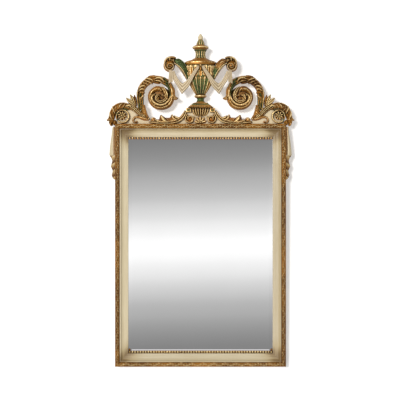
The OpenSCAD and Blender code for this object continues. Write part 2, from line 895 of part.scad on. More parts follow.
module leaf_spray(side) {
  color(gold)
    in_crest()
      on_side(side)
        difference() {
          union() {
            band(spline(stem_line, 8), [[0, 16], [0.5, 21], [1, 17]],
                 [[0, leaf_d - 2], [0.5, leaf_d + 2], [1, leaf_d - 4]], ribs = 4, cut = 0.3);
            band(spline(curl_line, 9), [[0, 4], [0.3, 9], [1, 6]],
                 [[0, leaf_d - 8], [1, leaf_d - 6]], ribs = 2, cut = 0.3, across = 4);
            for (q = [[[270, 76], [296, 103]], [[264, 76], [281, 117]], [[258, 76], [265, 115]]])
              let (knee = q[0] + (q[1] - q[0]) * 0.6) {
                petal(q[0], knee, 12, 11, leaf_d, leaf_d - 3);
                petal(knee, q[1], 11, 4, leaf_d - 3, leaf_d - 12);
              }
            petal([218, 34], [221, 58], 16, 11, leaf_d, leaf_d - 3);
            petal([221, 58], [218, 76], 11, 5, leaf_d - 3, leaf_d - 11);
            for (a = [-1:1])
              petal([218, 28], [206 + 3 * abs(a), 22 + a * 9], 12, 7, leaf_d, leaf_d - 4);
            petal([257, 10], [255, 9], 12, 10, leaf_d - 2, leaf_d - 2);
          }
          board_blank(fit);
          rail_room();
          scroll_blank(fit);
          translate([corner_cut - fit, -200, -100])
            cube([200, 400, 300]);
          translate([inner_cut - 200, -200, -100])
            cube([200, 400, 300]);
        }
}

// Run of leaves between the pedestal and the spray
base_stem = [[62, 52], [68, 34], [84, 17], [108, 8], [136, 7], [170, 9], [202, 11]];
base_tips = [[[98, 14], [107, 35]], [[108, 12], [118, 37]], [[128, 10], [141, 25]],
             [[148, 10], [159, 36]], [[166, 10], [176, 24]]];
pedestal_cut = 66;

module base_leaf(side) {
  color(gold)
    in_crest()
      on_side(side)
        difference() {
          union() {
            band(spline(base_stem, 10), [[0, 12], [0.3, 17], [1, 13]],
                 [[0, leaf_d - 8], [0.5, leaf_d - 3], [1, leaf_d - 6]], ribs = 3, cut = 0.3);
            for (q = base_tips)
              let (knee = q[0] + (q[1] - q[0]) * 0.55) {
                petal(q[0], knee, 14, 12, leaf_d, leaf_d - 2);
                petal(knee, q[1], 12, 5, leaf_d - 2, leaf_d - 11);
              }
            petal([193, 20], [192, 23], 19, 16, leaf_d + 1, leaf_d + 1);
            petal([86, 22], [82, 36], 13, 6, leaf_d - 4, leaf_d - 12);
          }
          board_blank(fit);
          rail_room();
          translate([inner_cut - fit, -200, -100])
            cube([200, 400, 300]);
          translate([pedestal_cut - 200, -200, -100])
            cube([200, 400, 300]);
        }
}

// C scroll beside the pedestal
module pedestal_scroll(side) {
  line = [[56, 46], [64, 32], [65, 18], [57, 6], [45, 2.5], [33, 6]];
  color(gold)
    in_crest()
      on_side(side)
        difference() {
          union() {
            spiral_disc([45, 22], 19, leaf_d, 1.25, -1, board_d, 16, 5);
            fillet(spline(line, 10), 3, leaf_d - 6);
          }
          board_blank(fit);
          rail_room();
          translate([pedestal_cut - fit, -200, -100])
            cube([200, 400, 300]);
          translate([20, -200, 46.8])
            cube([60, 400, 30]);
          translate([-40, -200, -100])
            cube([62, 400, 300]);
        }
}

// Carved cloth beside a stile, in frame space: how far it stands out, by share of its length
drape_edge = [[0, 0.5], [0.13, 0.58], [0.26, 0.8], [0.4, 0.93], [0.53, 1], [0.59, 0.8],
              [0.63, 0.5], [0.71, 0.56], [0.77, 0.67], [0.83, 0.52], [0.87, 0.48], [0.95, 0.56],
              [1, 0.38]];

module side_drapery(side) {
  steps = 20;
  across = 6;
  top = frame_top - 10;
  color(cream)
    on_side(side)
      translate([frame_w / 2 + fit, -bumper_h, top])
        loft([for (i = [0:steps])
          let (t = i / steps, out = drape_out * along(drape_edge, t))
          concat(
            [[0, -4, -t * drape_len]],
            [for (k = [0:across])
              let (u = k / across,
                   fold = cos(360 * (u * drape_folds * 0.8 + 0.55 * t)),
                   deep = mix(29, 17, u * u) + 3 * fold * (0.3 + 0.7 * t))
              [u * out, -deep, -t * drape_len - 3 * u * (1 - t)]],
            [[out, -8, -t * drape_len - 3 * (1 - t)]])]);
}

top_rail();
bottom_rail();
left_stile();
right_stile();
gilt_edge(0);  // gilt_edge_top
gilt_edge(180);  // gilt_edge_bottom
gilt_edge(270);  // gilt_edge_left
gilt_edge(90);  // gilt_edge_right
pearl_string(1);  // pearls_top
pearl_string(-1);  // pearls_bottom
mirror_plate();
backing_board();
retaining_strips();
corner_braces();
brace_screws();
crest_board();
crest_straps();
strap_screws();
urn_batten();
batten_screws();
pedestal();
gadroon_shell();
palmette();
urn_foot();
urn_body();
urn_boss();
urn_lid();
bud_finial();
handle(-1);  // handle_left
handle(1);  // handle_right
swag(-1);  // swag_left
swag(1);  // swag_right
swag_tail(-1);  // swag_tail_left
swag_tail(1);  // swag_tail_right
scroll(-1);  // scroll_left
scroll(1);  // scroll_right
corner_volute(-1);  // corner_volute_left
corner_volute(1);  // corner_volute_right
corner_rosette(-1);  // corner_rosette_left
corner_rosette(1);  // corner_rosette_right
leaf_spray(-1);  // leaf_spray_left
leaf_spray(1);  // leaf_spray_right
base_leaf(-1);  // base_leaf_left
base_leaf(1);  // base_leaf_right
pedestal_scroll(-1);  // pedestal_scroll_left
pedestal_scroll(1);  // pedestal_scroll_right
side_drapery(-1);  // side_drapery_left
side_drapery(1);  // side_drapery_right
hanger_strap(-1);  // hanger_strap_left
hanger_strap(1);  // hanger_strap_right
hanger_ring(-1);  // hanger_ring_left
hanger_ring(1);  // hanger_ring_right
hanger_screws();
bumper(-1);  // bumper_left
bumper(1);  // bumper_right
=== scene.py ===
# %% [markdown]
# # A crested wall mirror, cream and gilt
#
# The mirror is a mitred frame with a hollow cream moulding and a gilt carved edge.  Two strings
# of pearls lie along the glass.  On the top rail stands an openwork crest, with an urn in
# the middle, pleated swags, two big scrolls and leaves at the corners.
#
# The solid model gives the size and place of every piece.  This script keeps its plain pieces,
# such as rails, glass and hangers, and gives them their finish.  The carvings are made again
# here with the fine shapes that a carver would cut, and each one stands for the solid of its
# name.

# %% Load the frame
import bmesh
import bpy
import math
import numpy as np
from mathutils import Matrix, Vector


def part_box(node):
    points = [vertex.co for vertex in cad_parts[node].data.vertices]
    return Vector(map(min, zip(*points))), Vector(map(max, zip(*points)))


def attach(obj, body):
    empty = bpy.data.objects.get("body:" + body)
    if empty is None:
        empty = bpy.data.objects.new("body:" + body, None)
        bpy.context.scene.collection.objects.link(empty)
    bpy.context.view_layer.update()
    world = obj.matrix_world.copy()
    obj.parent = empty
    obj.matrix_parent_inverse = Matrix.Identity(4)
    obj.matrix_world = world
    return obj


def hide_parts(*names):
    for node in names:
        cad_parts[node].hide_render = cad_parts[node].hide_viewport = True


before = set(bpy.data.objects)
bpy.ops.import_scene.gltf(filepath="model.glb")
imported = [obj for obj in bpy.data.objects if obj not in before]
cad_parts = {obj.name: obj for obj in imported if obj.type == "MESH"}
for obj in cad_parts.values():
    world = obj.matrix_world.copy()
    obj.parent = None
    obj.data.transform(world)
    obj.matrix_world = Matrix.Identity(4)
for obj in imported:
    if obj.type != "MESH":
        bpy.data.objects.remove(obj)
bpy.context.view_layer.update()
print("pieces in the solid model:", len(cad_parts))

# %% [markdown]
# ## A place for everything
#
# The crest is drawn in its own flat space, in millimetres: x runs from the centre line, and z
# runs up from the top rail.  The relief is measured forward from the flat backs of the
# carvings.  One function turns such numbers into places in the room.

# %% Crest space
MM = 0.001
RAIL_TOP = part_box("top_rail")[1].z
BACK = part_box("crest_board")[1].y
BOARD_RELIEF = (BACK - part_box("crest_board")[0].y) / MM
BOARD_BACK = BOARD_RELIEF - 5
SIDES = {"left": -1, "right": 1}
GILT, GREEN_GILT, CREAM_WOOD = "gilt_wood", "green_glazed_gilt_wood", "cream_painted_wood"


def crest_points(x, relief, z, side=1):
    """Places in the room for crest millimetres; the three are spread to one shape."""
    x, relief, z = np.broadcast_arrays(np.asarray(x, float), relief, z)
    return np.stack([side * x * MM, BACK - relief * MM, RAIL_TOP + z * MM], axis=-1)


def both(label, make):
    """Makes the left and the right one of a pair; make takes the side and its name."""
    counts = [make(side, name) for name, side in SIDES.items()]
    print(label, "points:", counts[-1])


print("rail top at", round(RAIL_TOP, 4), "backs at", round(BACK, 4))

# %% [markdown]
# ## Curves
#
# A carver follows a drawn line.  Here a line is a short list of points, and a smooth curve is
# passed through them.  `smooth_line` resamples that curve evenly along its length, so that
# carved detail keeps one pitch.

# %% Line helpers


def smooth_line(points, count):
    """Even points on the smooth curve through the given ones."""
    p = np.asarray(points, float)
    fine = []
    for i in range(len(p) - 1):
        a, b, c, d = p[max(i - 1, 0)], p[i], p[i + 1], p[min(i + 2, len(p) - 1)]
        f = np.linspace(0, 1, 24, endpoint=False)[:, None]
        fine.append(0.5 * (2 * b + (c - a) * f + (2 * a - 5 * b + 4 * c - d) * f**2
                           + (3 * b - a - 3 * c + d) * f**3))
    fine = np.vstack(fine + [p[-1:]])
    step = np.r_[0, np.cumsum(np.linalg.norm(np.diff(fine, axis=0), axis=1))]
    at = np.linspace(0, step[-1], count)
    return np.stack([np.interp(at, step, fine[:, k]) for k in range(p.shape[1])], axis=1)


def round_line(centre, radius, first, last, count):
    """Points round a centre between two angles in degrees; the radius may change on the way."""
    angle = np.radians(np.linspace(first, last, count))
    reach = np.linspace(radius[0], radius[1], count) if np.ndim(radius) else radius
    return np.asarray(centre) + np.stack([reach * np.cos(angle), reach * np.sin(angle)], axis=1)


def steps(places, values):
    """A function that runs through the given values with soft turns between them."""
    places, values = np.asarray(places, float), np.asarray(values, float)

    def at(s):
        s = np.clip(s, places[0], places[-1])
        i = np.clip(np.searchsorted(places, s, side="right") - 1, 0, len(places) - 2)
        f = (s - places[i]) / (places[i + 1] - places[i])
        f = f * f * (3 - 2 * f)
        return values[i] * (1 - f) + values[i + 1] * f

    return at


def bump(x, width):
    """One smooth hump about zero."""
    return np.exp(-(x / width) ** 2)


def wave(x):
    """A wave from 0 to 1 with its crests at whole numbers."""
    return 0.5 + 0.5 * np.cos(2 * math.pi * x)


def wrap(front, under):
    """Rows that close behind a carved front; under holds the back's two outer columns."""
    return np.concatenate([under[:, :1], front, under[:, 1:]], axis=1)


def rimmed(values, mode="constant"):
    """The numbers of a front, with one more column at each side for its back."""
    return np.pad(values, ((0, 0), (1, 1)), mode=mode)


print("a quarter turn in three points:", round_line((0, 0), 10, 0, 90, 3).round(1).tolist())

# %% [markdown]
# ## From rows of points to a carved solid
#
# Every carving is a skin over rows of points.  `Carving` collects such skins and makes one
# mesh of them.  Each point also keeps two numbers for the finish: `ridge`, from 0 in a cut to
# 1 on a crest, which the finish paints pale as worn gilding and painted highlight, and dark
# as glaze and painted shade, and `green`, where green glaze was brushed on.

# %% The carving mesh


class Carving:
    """Collects closed skins and turns them into one mesh object."""

    made = 0

    def __init__(self, name, sink=0.12):
        Carving.made += 1
        self.name, self.sink, self.number = name, sink, Carving.made
        self.points, self.faces, self.ridge, self.green = [], [], [], []
        self.count = 0

    def sunk(self):
        """How deep the back of the next skin lies, in mm, so that no two backs coincide."""
        return 0.25 + self.sink * len(self.points) + 0.013 * self.number

    def skin(self, rows, ridge, green=0.0):
        """Adds a skin over rows that close on themselves, with a cap at both ends."""
        m, n = rows.shape[:2]
        ids = self.count + np.arange(m * n).reshape(m, n)
        nxt = np.roll(ids, -1, axis=1)
        quads = np.stack([ids[:-1], nxt[:-1], nxt[1:], ids[1:]], axis=-1).reshape(-1, 4)
        self.faces += quads.tolist() + [ids[0][::-1].tolist(), ids[-1].tolist()]
        self.points.append(rows.reshape(-1, 3))
        for kept, values in ((self.ridge, ridge), (self.green, green)):
            kept.append(np.broadcast_to(values, (m, n)).reshape(-1))
        self.count += m * n

    def finish(self, finish, *stands_for, slot=GILT):
        """Makes the object, gives it its finish and lets it stand for its solids."""
        mesh = bpy.data.meshes.new(self.name)
        mesh.from_pydata(np.vstack(self.points).tolist(), [], self.faces)
        for label, values in (("ridge", self.ridge), ("green", self.green)):
            layer = mesh.attributes.new(label, "FLOAT", "POINT")
            layer.data.foreach_set("value", np.concatenate(values).astype(np.float32))
        mesh.validate()
        mesh.shade_smooth()
        turn_outward(mesh)
        mesh.materials.append(finish)
        obj = bpy.data.objects.new(self.name, mesh)
        bpy.context.scene.collection.objects.link(obj)
        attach(obj, "mirror")
        if stands_for:
            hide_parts(*stands_for)
        return self.count


def turn_outward(mesh):
    """Turns every face of a closed mesh to look outward."""
    work = bmesh.new()
    work.from_mesh(mesh)
    bmesh.ops.recalc_face_normals(work, faces=work.faces)
    work.to_mesh(mesh)
    work.free()


print("carving mesh ready")

# %% [markdown]
# ## Ribbons and leaves
#
# Most of the crest is ribbons.  A *ribbon* follows a line and keeps a carved section, such as
# three reeds side by side.  Most leaves are short ribbons too, one for each lobe, with a worn
# crest and one steep side.  One leaf at each side is whole, with lobes along its edge and
# veins that slant back from a middle rib.  All have flat backs, like wood carved from the
# front.

# %% Ribbons
EDGE_CROWDING = 0.92


def ribbon(carving, line, width, relief, section, side, back=0.0, across=17, green=0.0,
           lit=1.0):
    """Carves a band along a line.  width and relief are functions of the share s of the way,
    section(t, s) gives the height from 0 to 1 across t from -1 to 1, and lit says how bright
    its crests are painted, as worn leaf and as painted highlight."""
    s = np.linspace(0, 1, len(line))[:, None]
    t = np.sin(np.radians(np.linspace(-90, 90, across) * EDGE_CROWDING))[None, :]
    t /= t[0, -1]
    ahead = np.gradient(line, axis=0)
    ahead /= np.linalg.norm(ahead, axis=1)[:, None] + 1e-9
    offset = t * width(s) / 2
    x, z = line[:, :1] - ahead[:, 1:] * offset, line[:, 1:] + ahead[:, :1] * offset
    shape, green, lit = (np.broadcast_to(value(t, s) if callable(value) else value, x.shape)
                         for value in (section, green, lit))
    low = back + carving.sunk()
    front = crest_points(x, low + (relief(s) - low) * np.clip(shape, 0.02, 1.2), z, side)
    foot = crest_points(x[:, [0, -1]], low, z[:, [0, -1]], side)
    carving.skin(wrap(front, foot), rimmed(np.clip(shape, 0, 1) * lit), rimmed(green, "edge"))


def dome(t, power=2.0):
    """Rounded back of a moulding."""
    return np.clip(1 - np.abs(t) ** power, 0, 1) ** 0.5


def reeded(reeds, depth):
    """Section of several reeds side by side under one dome."""
    def section(t, s):
        groove = np.abs(np.sin(math.pi * reeds * (t + 1) / 2)) ** 0.6
        return (0.35 + 0.65 * dome(t, 2.4)) * (1 - depth * (1 - groove))
    return section


def rounded(t, s):
    """Section of a plain round moulding."""
    return 0.3 + 0.7 * dome(t)


def finger(t, s):
    """Section of one leaf lobe: a worn crest, a thin cut beside it and one steep side."""
    roof = 1 - np.minimum(1, np.abs(t - 0.18) / 1.1) ** 1.5
    return 0.12 + 0.88 * roof - 0.22 * bump(t + 0.42, 0.14)


def strand(carving, points, widths, reliefs, side=1, section=rounded, back=0.0, across=17,
           green=0.0, step=1.5, lit=1.0):
    """A ribbon through a few points, whose widths and reliefs are spaced evenly along it."""
    length = sum(math.dist(a, b) for a, b in zip(points, points[1:]))
    ribbon(carving, smooth_line(points, max(20, int(length / step))),
           steps(np.linspace(0, 1, len(widths)), widths),
           steps(np.linspace(0, 1, len(reliefs)), reliefs), section, side, back, across,
           green, lit)


def leaf(carving, line, width, relief, side, lobes, notch, vein):
    """Acanthus leaf along its middle rib: lobed edge, raised rib, veins that slant back."""
    def spread(s):
        body = np.clip(np.sin(math.pi * np.clip(s * 0.78 + 0.22, 0, 1)), 0.03, 1) ** 0.6
        lobe = 1 - notch * (1 - wave(lobes * s - 0.35)) * np.clip(1.3 - s, 0, 1)
        return 1.18 * width * body * lobe

    def rise(s):
        return relief * (0.72 + 0.28 * np.sin(math.pi * (0.15 + 0.75 * s)))

    def section(t, s):
        cut = (1 - wave(lobes * (s + 0.16 * np.abs(t)) - 0.35)) ** 2
        bowl = 0.48 + 0.52 * dome(t, 2.4) - 0.24 * bump(np.abs(t) - 0.3, 0.17)
        return bowl * (1 - vein * cut * np.clip(np.abs(t) * 1.6, 0, 1)) + 0.18 * bump(t, 0.13)

    ribbon(carving, smooth_line(line, 40), spread, rise, section, side, across=23)


def leaflets(carving, table, swell, drops, side, section=finger, dim=1.0, **how):
    """One small leaf for each row of a table of spine, width, relief, crest brightness (worn leaf
    and painted highlight) and perhaps green; swell and drops give its width and relief along the
    spine."""
    for spine, width, relief, lit, *green in table:
        strand(carving, spine, [width * f for f in swell], [relief + d for d in drops], side,
               section, lit=lit * dim, **({"green": green[0]} if green else {}), **how)


def knots(carving, table, radii, relief, side, dim, back=0.0):
    """Small long bosses at the places of a table of x, z, turn and the strength of their painted
    highlight.
    """
    for x, z, turn, lit in table:
        blob(carving, (x, z), radii, relief, side, back, turn, around=18, ridge=lit * dim)


def blob(carving, centre, radii, relief, side=1, back=0.0, turn=0.0, around=20, rings=9,
         shape=0.5, ridge=None, green=0.0):
    """Low rounded boss, such as a berry or a petal; turn is the angle of its long way."""
    back = back + carving.sunk()
    a = np.linspace(0, 2 * math.pi, around, endpoint=False)[None, :]
    f = np.linspace(1, 0.02, rings)[:, None]
    u, v = radii[0] * f * np.cos(a), radii[1] * f * np.sin(a)
    c, d = math.cos(math.radians(turn)), math.sin(math.radians(turn))
    x, z = centre[0] + u * c - v * d, centre[1] + u * d + v * c
    swell = (1 - f**2) ** shape
    rows = crest_points(x, back + (relief - back) * swell, z, side)
    base = crest_points(x[:1], back, z[:1], side)
    lift = np.concatenate([[[0.0]], swell * 0.9]) if ridge is None else ridge
    carving.skin(np.concatenate([base, rows]), lift, green)


print("carving tools ready")

# %% [markdown]
# ## Writing a finish
#
# A finish on old carved wood is many thin layers, and each layer is a sum over a few masks.
# `Wire` wraps one output of a shader node, so that such sums read as plain arithmetic.
# `Finish` adds every other kind of node.

# %% Shader helpers


def paint(code):
    """Linear colour of a paint chip that is written as six hexadecimal digits."""
    parts = [int(code[i:i + 2], 16) / 255 for i in (0, 2, 4)]
    return tuple(c / 12.92 if c <= 0.04045 else ((c + 0.055) / 1.055) ** 2.4
                 for c in parts) + (1.0,)


def sums(operation):
    """An operator that adds one Math node."""
    return lambda self, other: self.maths(operation, self, other)


class Wire:
    """One output of a node; arithmetic on it adds Math nodes."""

    def __init__(self, finish, socket):
        self.finish, self.socket = finish, socket

    def maths(self, operation, *values, clamp=False):
        return self.finish.add("Math", dict(enumerate(values)), operation=operation,
                               use_clamp=clamp)

    __add__ = __radd__ = sums("ADD")
    __sub__ = sums("SUBTRACT")
    __mul__ = __rmul__ = sums("MULTIPLY")
    __truediv__ = sums("DIVIDE")
    __pow__ = sums("POWER")

    def __rsub__(self, other):
        return self.maths("SUBTRACT", other, self)

    def size(self):
        """The value without its sign."""
        return self.maths("ABSOLUTE", self)

    def held(self):
        """The same value, kept between 0 and 1."""
        return self.maths("ADD", self, 0.0, clamp=True)

    def rise(self, low, high):
        """0 below low, 1 above high, soft between."""
        return self.finish.add("MapRange", {"Value": self, "From Min": low, "From Max": high},
                               interpolation_type="SMOOTHSTEP")


class Finish:
    """A material under construction, or the light of the world."""

    def __init__(self, name, kind=bpy.data.materials):
        self.material = kind.new(name)
        self.material.use_nodes = True
        self.tree = self.material.node_tree
        self.tree.nodes.clear()

    def add(self, kind, values=None, out=0, **settings):
        """Adds a node: its settings first, then the values or links of its sockets."""
        node = self.tree.nodes.new("ShaderNode" + kind)
        for key, value in settings.items():
            setattr(node, key, value)
        for key, value in (values or {}).items():
            if isinstance(value, Wire):
                self.tree.links.new(value.socket, node.inputs[key])
            else:
                node.inputs[key].default_value = value
        return None if out is None else Wire(self, node.outputs[out])

    def place(self):
        """Where a point lies on the object, in metres."""
        return self.add("TexCoord", out="Object")

    def stretched(self, x, y, z):
        """The place, drawn out so that a noise runs in streaks."""
        return self.add("VectorMath", {0: self.place(), 1: (x, y, z)}, operation="MULTIPLY")

    def noise(self, scale, detail, roughness=0.55, place=None):
        return self.add("TexNoise", {"Vector": place or self.place(), "Scale": scale,
                                     "Detail": detail, "Roughness": roughness})

    def kept(self, label):
        """A number that the carving keeps at each point."""
        return self.add("Attribute", out="Fac", attribute_name=label)

    def hollow(self, reach):
        """1 in the open and towards 0 in hollows narrower than reach."""
        return self.add("AmbientOcclusion", {"Distance": reach}, out="AO", samples=6)

    def mix(self, share, a, b):
        """Colour a, with the given share of colour b over it."""
        return self.add("Mix", {0: share, 6: a, 7: b}, out=2, data_type="RGBA")

    def parts(self, vector):
        """The x, y and z of a vector."""
        node = self.add("SeparateXYZ", {0: vector}).socket.node
        return [Wire(self, socket) for socket in node.outputs]

    def surface(self, values, height=None, depth=0.0005, strength=1.0):
        """Ends the finish in one Principled shader, with the height as fine relief."""
        if height is not None:
            values["Normal"] = self.add("Bump", {"Strength": strength, "Distance": depth,
                                                 "Height": height})
        self.add_end(self.add("BsdfPrincipled", values))
        return self.material

    def add_end(self, shader, kind="Material"):
        self.add("Output" + kind, {"Surface": shader}, out=None)


print("grey 808080 is", round(paint("808080")[0], 3), "in linear light")

# %% [markdown]
# ## Gilding that has aged
#
# The carvings were gilded, then toned with a brown glaze and rubbed back.  The finish paints the
# cuts dark, as glaze and as painted shade, and the crests pale, as rubbed leaf and as painted
# highlight.  Thin patches show the red clay under the leaf.  Some channels were picked out in
# green.  The mesh tells the finish where its crests and its green parts are, and ambient
# occlusion finds the hollows between neighbouring carvings, which get painted shade.  Low down,
# up to `WARM_UP` above the rail and `WARM_OUT` from the centre line, the leaf is painted warmer,
# as light bounced up from the rail.  The flat backs were left as bare wood.

# %% Gilding
LEAF_GOLD = paint("a9742a")
RUBBED_LEAF_HIGHLIGHT = paint("f5da9e")
LEAF_DEEP = paint("6b4318")
LEAF_WARM = paint("bd711b")
GLAZE_AND_SHADE_BROWN = paint("241505")
GLAZE_GREEN = paint("1a3a20")
GREEN_WORN = paint("4f6c3a")
CLAY = paint("a4521c")
BARE_WOOD = paint("c9a678")
BARE_WOOD_OLD = paint("94714a")
WARM_UP, WARM_OUT = 0.045, 0.324


def bare_back(f, body, fine):
    """The colour with bare wood on the flat back, and the share of it that is bare."""
    behind = f.parts(f.add("NewGeometry", out="True Normal"))[1].rise(0.8, 0.95)
    wood = f.mix(fine.rise(0.35, 0.7), BARE_WOOD, BARE_WOOD_OLD)
    return f.mix(behind, body, wood), behind


def gilding(name, tone=0.0, wear_and_highlight=1.0, glaze_and_shade=1.0):
    """Gilding: tone deepens all of it; wear brightens the crests, as rubbed leaf and painted
    highlight; glaze darkens the cuts, as glaze and painted shade.
    """
    f = Finish(name)
    ridge = f.kept("ridge")
    broad, fine, grain = f.noise(9.0, 2.0), f.noise(170.0, 4.0, 0.6), f.noise(900.0, 2.0, 0.5)
    # Near 1 on open crests and near 0 in hollows and cuts; below it paints shade and highlight.
    shade = (f.hollow(0.007) * 1.15 - 0.15).held() * (ridge * 0.75 + 0.35).held()
    shade = (shade + (fine - 0.5) * 0.35).held()
    body = f.mix(broad.rise(0.35, 0.65), LEAF_DEEP, LEAF_GOLD)
    body = f.mix(fine.rise(0.45, 0.7) * 0.5, body, LEAF_GOLD)
    body = f.mix((broad * 0.5 + fine * 0.6).rise(0.62, 0.72) * 0.3, body, CLAY)
    x, _, z = f.parts(f.place())
    # Painted warm light: low by the rail the leaf is warmer, as light bounced up from it.
    low = z.rise(RAIL_TOP - 0.003, RAIL_TOP + 0.001) * (1 - z.rise(RAIL_TOP, RAIL_TOP + WARM_UP))
    low = low * (1 - (x * x).rise(WARM_OUT**2, (WARM_OUT + 0.02)**2))
    body = f.mix(low * broad.rise(0.3, 0.6) * 0.7, body, LEAF_WARM)
    # Painted highlight: pale crests, partly rubbed leaf.
    crest = (ridge * 0.75 + fine * 0.75).rise(0.92, 1.2) * shade * (0.95 * wear_and_highlight)
    body = f.mix(crest, body, RUBBED_LEAF_HIGHLIGHT)
    body = f.mix(tone, body, LEAF_DEEP)
    green = f.kept("green") * (1.25 - ridge * 0.55) * (fine * 1.6 + 0.3)
    tint = f.mix(fine.rise(0.42, 0.62), GLAZE_GREEN, GREEN_WORN)
    body = f.mix(green.rise(0.3, 0.8) * 0.9, body, tint)
    # Painted shade: dark brown in the cuts and hollows, partly the real glaze.
    body = f.mix((1 - shade.rise(0.04, 0.62 * glaze_and_shade)) * 0.9, body, GLAZE_AND_SHADE_BROWN)
    body, behind = bare_back(f, body, fine)
    shade = shade * (1 - behind)
    return f.surface({"Base Color": body, "Metallic": (shade * 0.5).held(),
                      "Roughness": 0.6 - shade * 0.22, "Specular IOR Level": 0.25},
                     height=fine * 0.6 + grain * 0.25, depth=0.0006, strength=0.5)


gilt = gilding("antiqued_gilding_with_painted_light")
gilt_green = gilding("green_glazed_gilding")
print("gilding ready")

# %% [markdown]
# ## Cream paint
#
# The wood between the gilt parts was painted in a warm cream over gesso.  A thin brown glaze
# lies over it in specks, the hollows are painted darker as glaze and as painted shade, and the
# cream shows clean where it is worn.

# %% Cream paint
CREAM = paint("d6c6a2")
CREAM_WORN_AND_HIGHLIT = paint("e6d9ba")
CREAM_TONED = paint("a08a5e")
CREAM_DARK_AND_SHADE = paint("6b5330")


def cream_paint(name, toning=0.5, hollows=0.010, dark=0.75, base=CREAM, pleats=0.0):
    """Cream paint with painted shade in its hollows; pleats says how much painted shade lies in
    the folds that the mesh keeps, and with pleats the fold crests also get a painted highlight.
    """
    f = Finish(name)
    speck, broad, worn = f.noise(420.0, 3.0, 0.6), f.noise(7.0, 3.0), f.noise(60.0, 4.0, 0.65)
    toned = (speck * 0.75 + broad * 0.55).rise(0.5, 0.95) * toning
    body = f.mix(toned, base, CREAM_TONED)
    body = f.mix(worn.rise(0.58, 0.75) * 0.35, body, CREAM_WORN_AND_HIGHLIT)
    # Painted shade: darker in the hollows that ambient occlusion finds, partly as glaze.
    body = f.mix((1 - f.hollow(hollows).rise(0.25, 0.95)) * dark, body, CREAM_DARK_AND_SHADE)
    if pleats:
        ridge = f.kept("ridge")
        # Painted shade in the folds and painted highlight on their crests.
        body = f.mix((1 - ridge.rise(0.2, 0.62)) * pleats, body, CREAM_DARK_AND_SHADE)
        body = f.mix(ridge.rise(0.78, 0.95) * 0.45, body, CREAM_WORN_AND_HIGHLIT)
        body = bare_back(f, body, worn)[0]
    return f.surface({"Base Color": body, "Roughness": 0.42 + speck * 0.2},
                     height=speck * 0.7 + worn * 0.3, depth=0.0004, strength=0.4)


cream_carved = cream_paint("cream_on_carving")
print("cream paint ready")

# %% [markdown]
# ## The frame's own finishes
#
# The four rails keep the shape of the solid model: a flat lip at the glass and a deep hollow
# that rises to the edge.  Each rail gets cream paint whose streaks run along it.  The paint in
# the hollow grows darker towards the outer edge, most of all on the top and right rails, and
# in the mitred corners.  Narrow hollows also get a little painted shade.

# %% Rails
FRAME_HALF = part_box("right_stile")[1].x
FRAME_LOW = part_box("bottom_rail")[0].z
FRAME_MID = (FRAME_LOW + RAIL_TOP) / 2
RAIL = RAIL_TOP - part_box("top_rail")[0].z
MITRE_REACH = 0.085


def rail_paint(name, lying, outer, toning, dark, base):
    """Cream for one rail.  outer is the place of its outer edge on its own cross axis, and
    toning and dark say how strong the streaks and the dark outer part are."""
    f = Finish(name)
    x, _, z = f.parts(f.place())
    across, run = (z, x) if lying else (x, z - FRAME_MID)
    length = FRAME_HALF if lying else RAIL_TOP - FRAME_MID

    def drawn(scale, detail, roughness, pull):
        return f.noise(scale, detail, roughness,
                       f.stretched(pull, 1, 1) if lying else f.stretched(1, 1, pull))

    streak, fibre = drawn(260.0, 4.0, 0.62, 0.05), drawn(700.0, 3.0, 0.6, 0.1)
    inward = (across - outer).size()
    corner = 1 - (length - run.size() - inward).rise(-0.004, MITRE_REACH)
    rising = (1 - (inward / RAIL).rise(0.25, 0.8)) * dark
    toned = (streak * 0.9 + f.noise(11.0, 3.0) * 0.5 - 0.25).rise(0.2, 0.75) * toning
    body = f.mix((toned + rising + corner * 0.8).held(), paint(base), CREAM_TONED)
    body = f.mix(((rising + corner) * (streak + 0.45)).rise(0.5, 1.1) * 0.85, body, CREAM_DARK_AND_SHADE)
    body = f.mix(fibre.rise(0.6, 0.78) * 0.3, body, CREAM_WORN_AND_HIGHLIT)
    # Painted shade: a little darker in narrow hollows.
    body = f.mix((1 - f.hollow(0.005).rise(0.1, 0.7)) * 0.15, body, CREAM_DARK_AND_SHADE)
    return f.surface({"Base Color": body, "Roughness": 0.38 + streak * 0.25},
                     height=streak * 0.6 + fibre * 0.4, depth=0.0004, strength=0.35)


def give(material, *nodes):
    """Puts a finish on pieces that keep the shape of the solid model."""
    for node in nodes:
        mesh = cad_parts[node].data
        mesh.materials.clear()
        mesh.materials.append(material)


for node, *look in (("top_rail", True, RAIL_TOP, 0.30, 0.9, "ccbe9f"),
                    ("bottom_rail", True, FRAME_LOW, 0.30, 0.22, "b9ad90"),
                    ("left_stile", False, -FRAME_HALF, 0.25, 0.15, "cdc0a0"),
                    ("right_stile", False, FRAME_HALF, 0.30, 0.55, "b4a78a")):
    give(rail_paint("cream_" + node, *look), node)
give(cream_carved, "crest_board")
print("rails", round(RAIL, 4), "wide")

# %% [markdown]
# ## The gilt edge
#
# Outside the hollow runs a carved moulding.  A stem winds along it with a period of 44 mm, and
# slanting leaflets fill both sides of it.  The whole run is one grid of points: along the rail,
# and across it, with its ends sheared to the mitre.

# %% Gilt edge
EDGE_LOW, EDGE_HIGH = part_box("gilt_edge_top")
EDGE_BACK, EDGE_WIDTH = EDGE_HIGH.y, (EDGE_HIGH.z - EDGE_LOW.z) / MM
EDGE_RISE = (EDGE_BACK - EDGE_LOW.y) / MM
LEAF_PITCH, EDGE_STEP = 44.0, 1.5


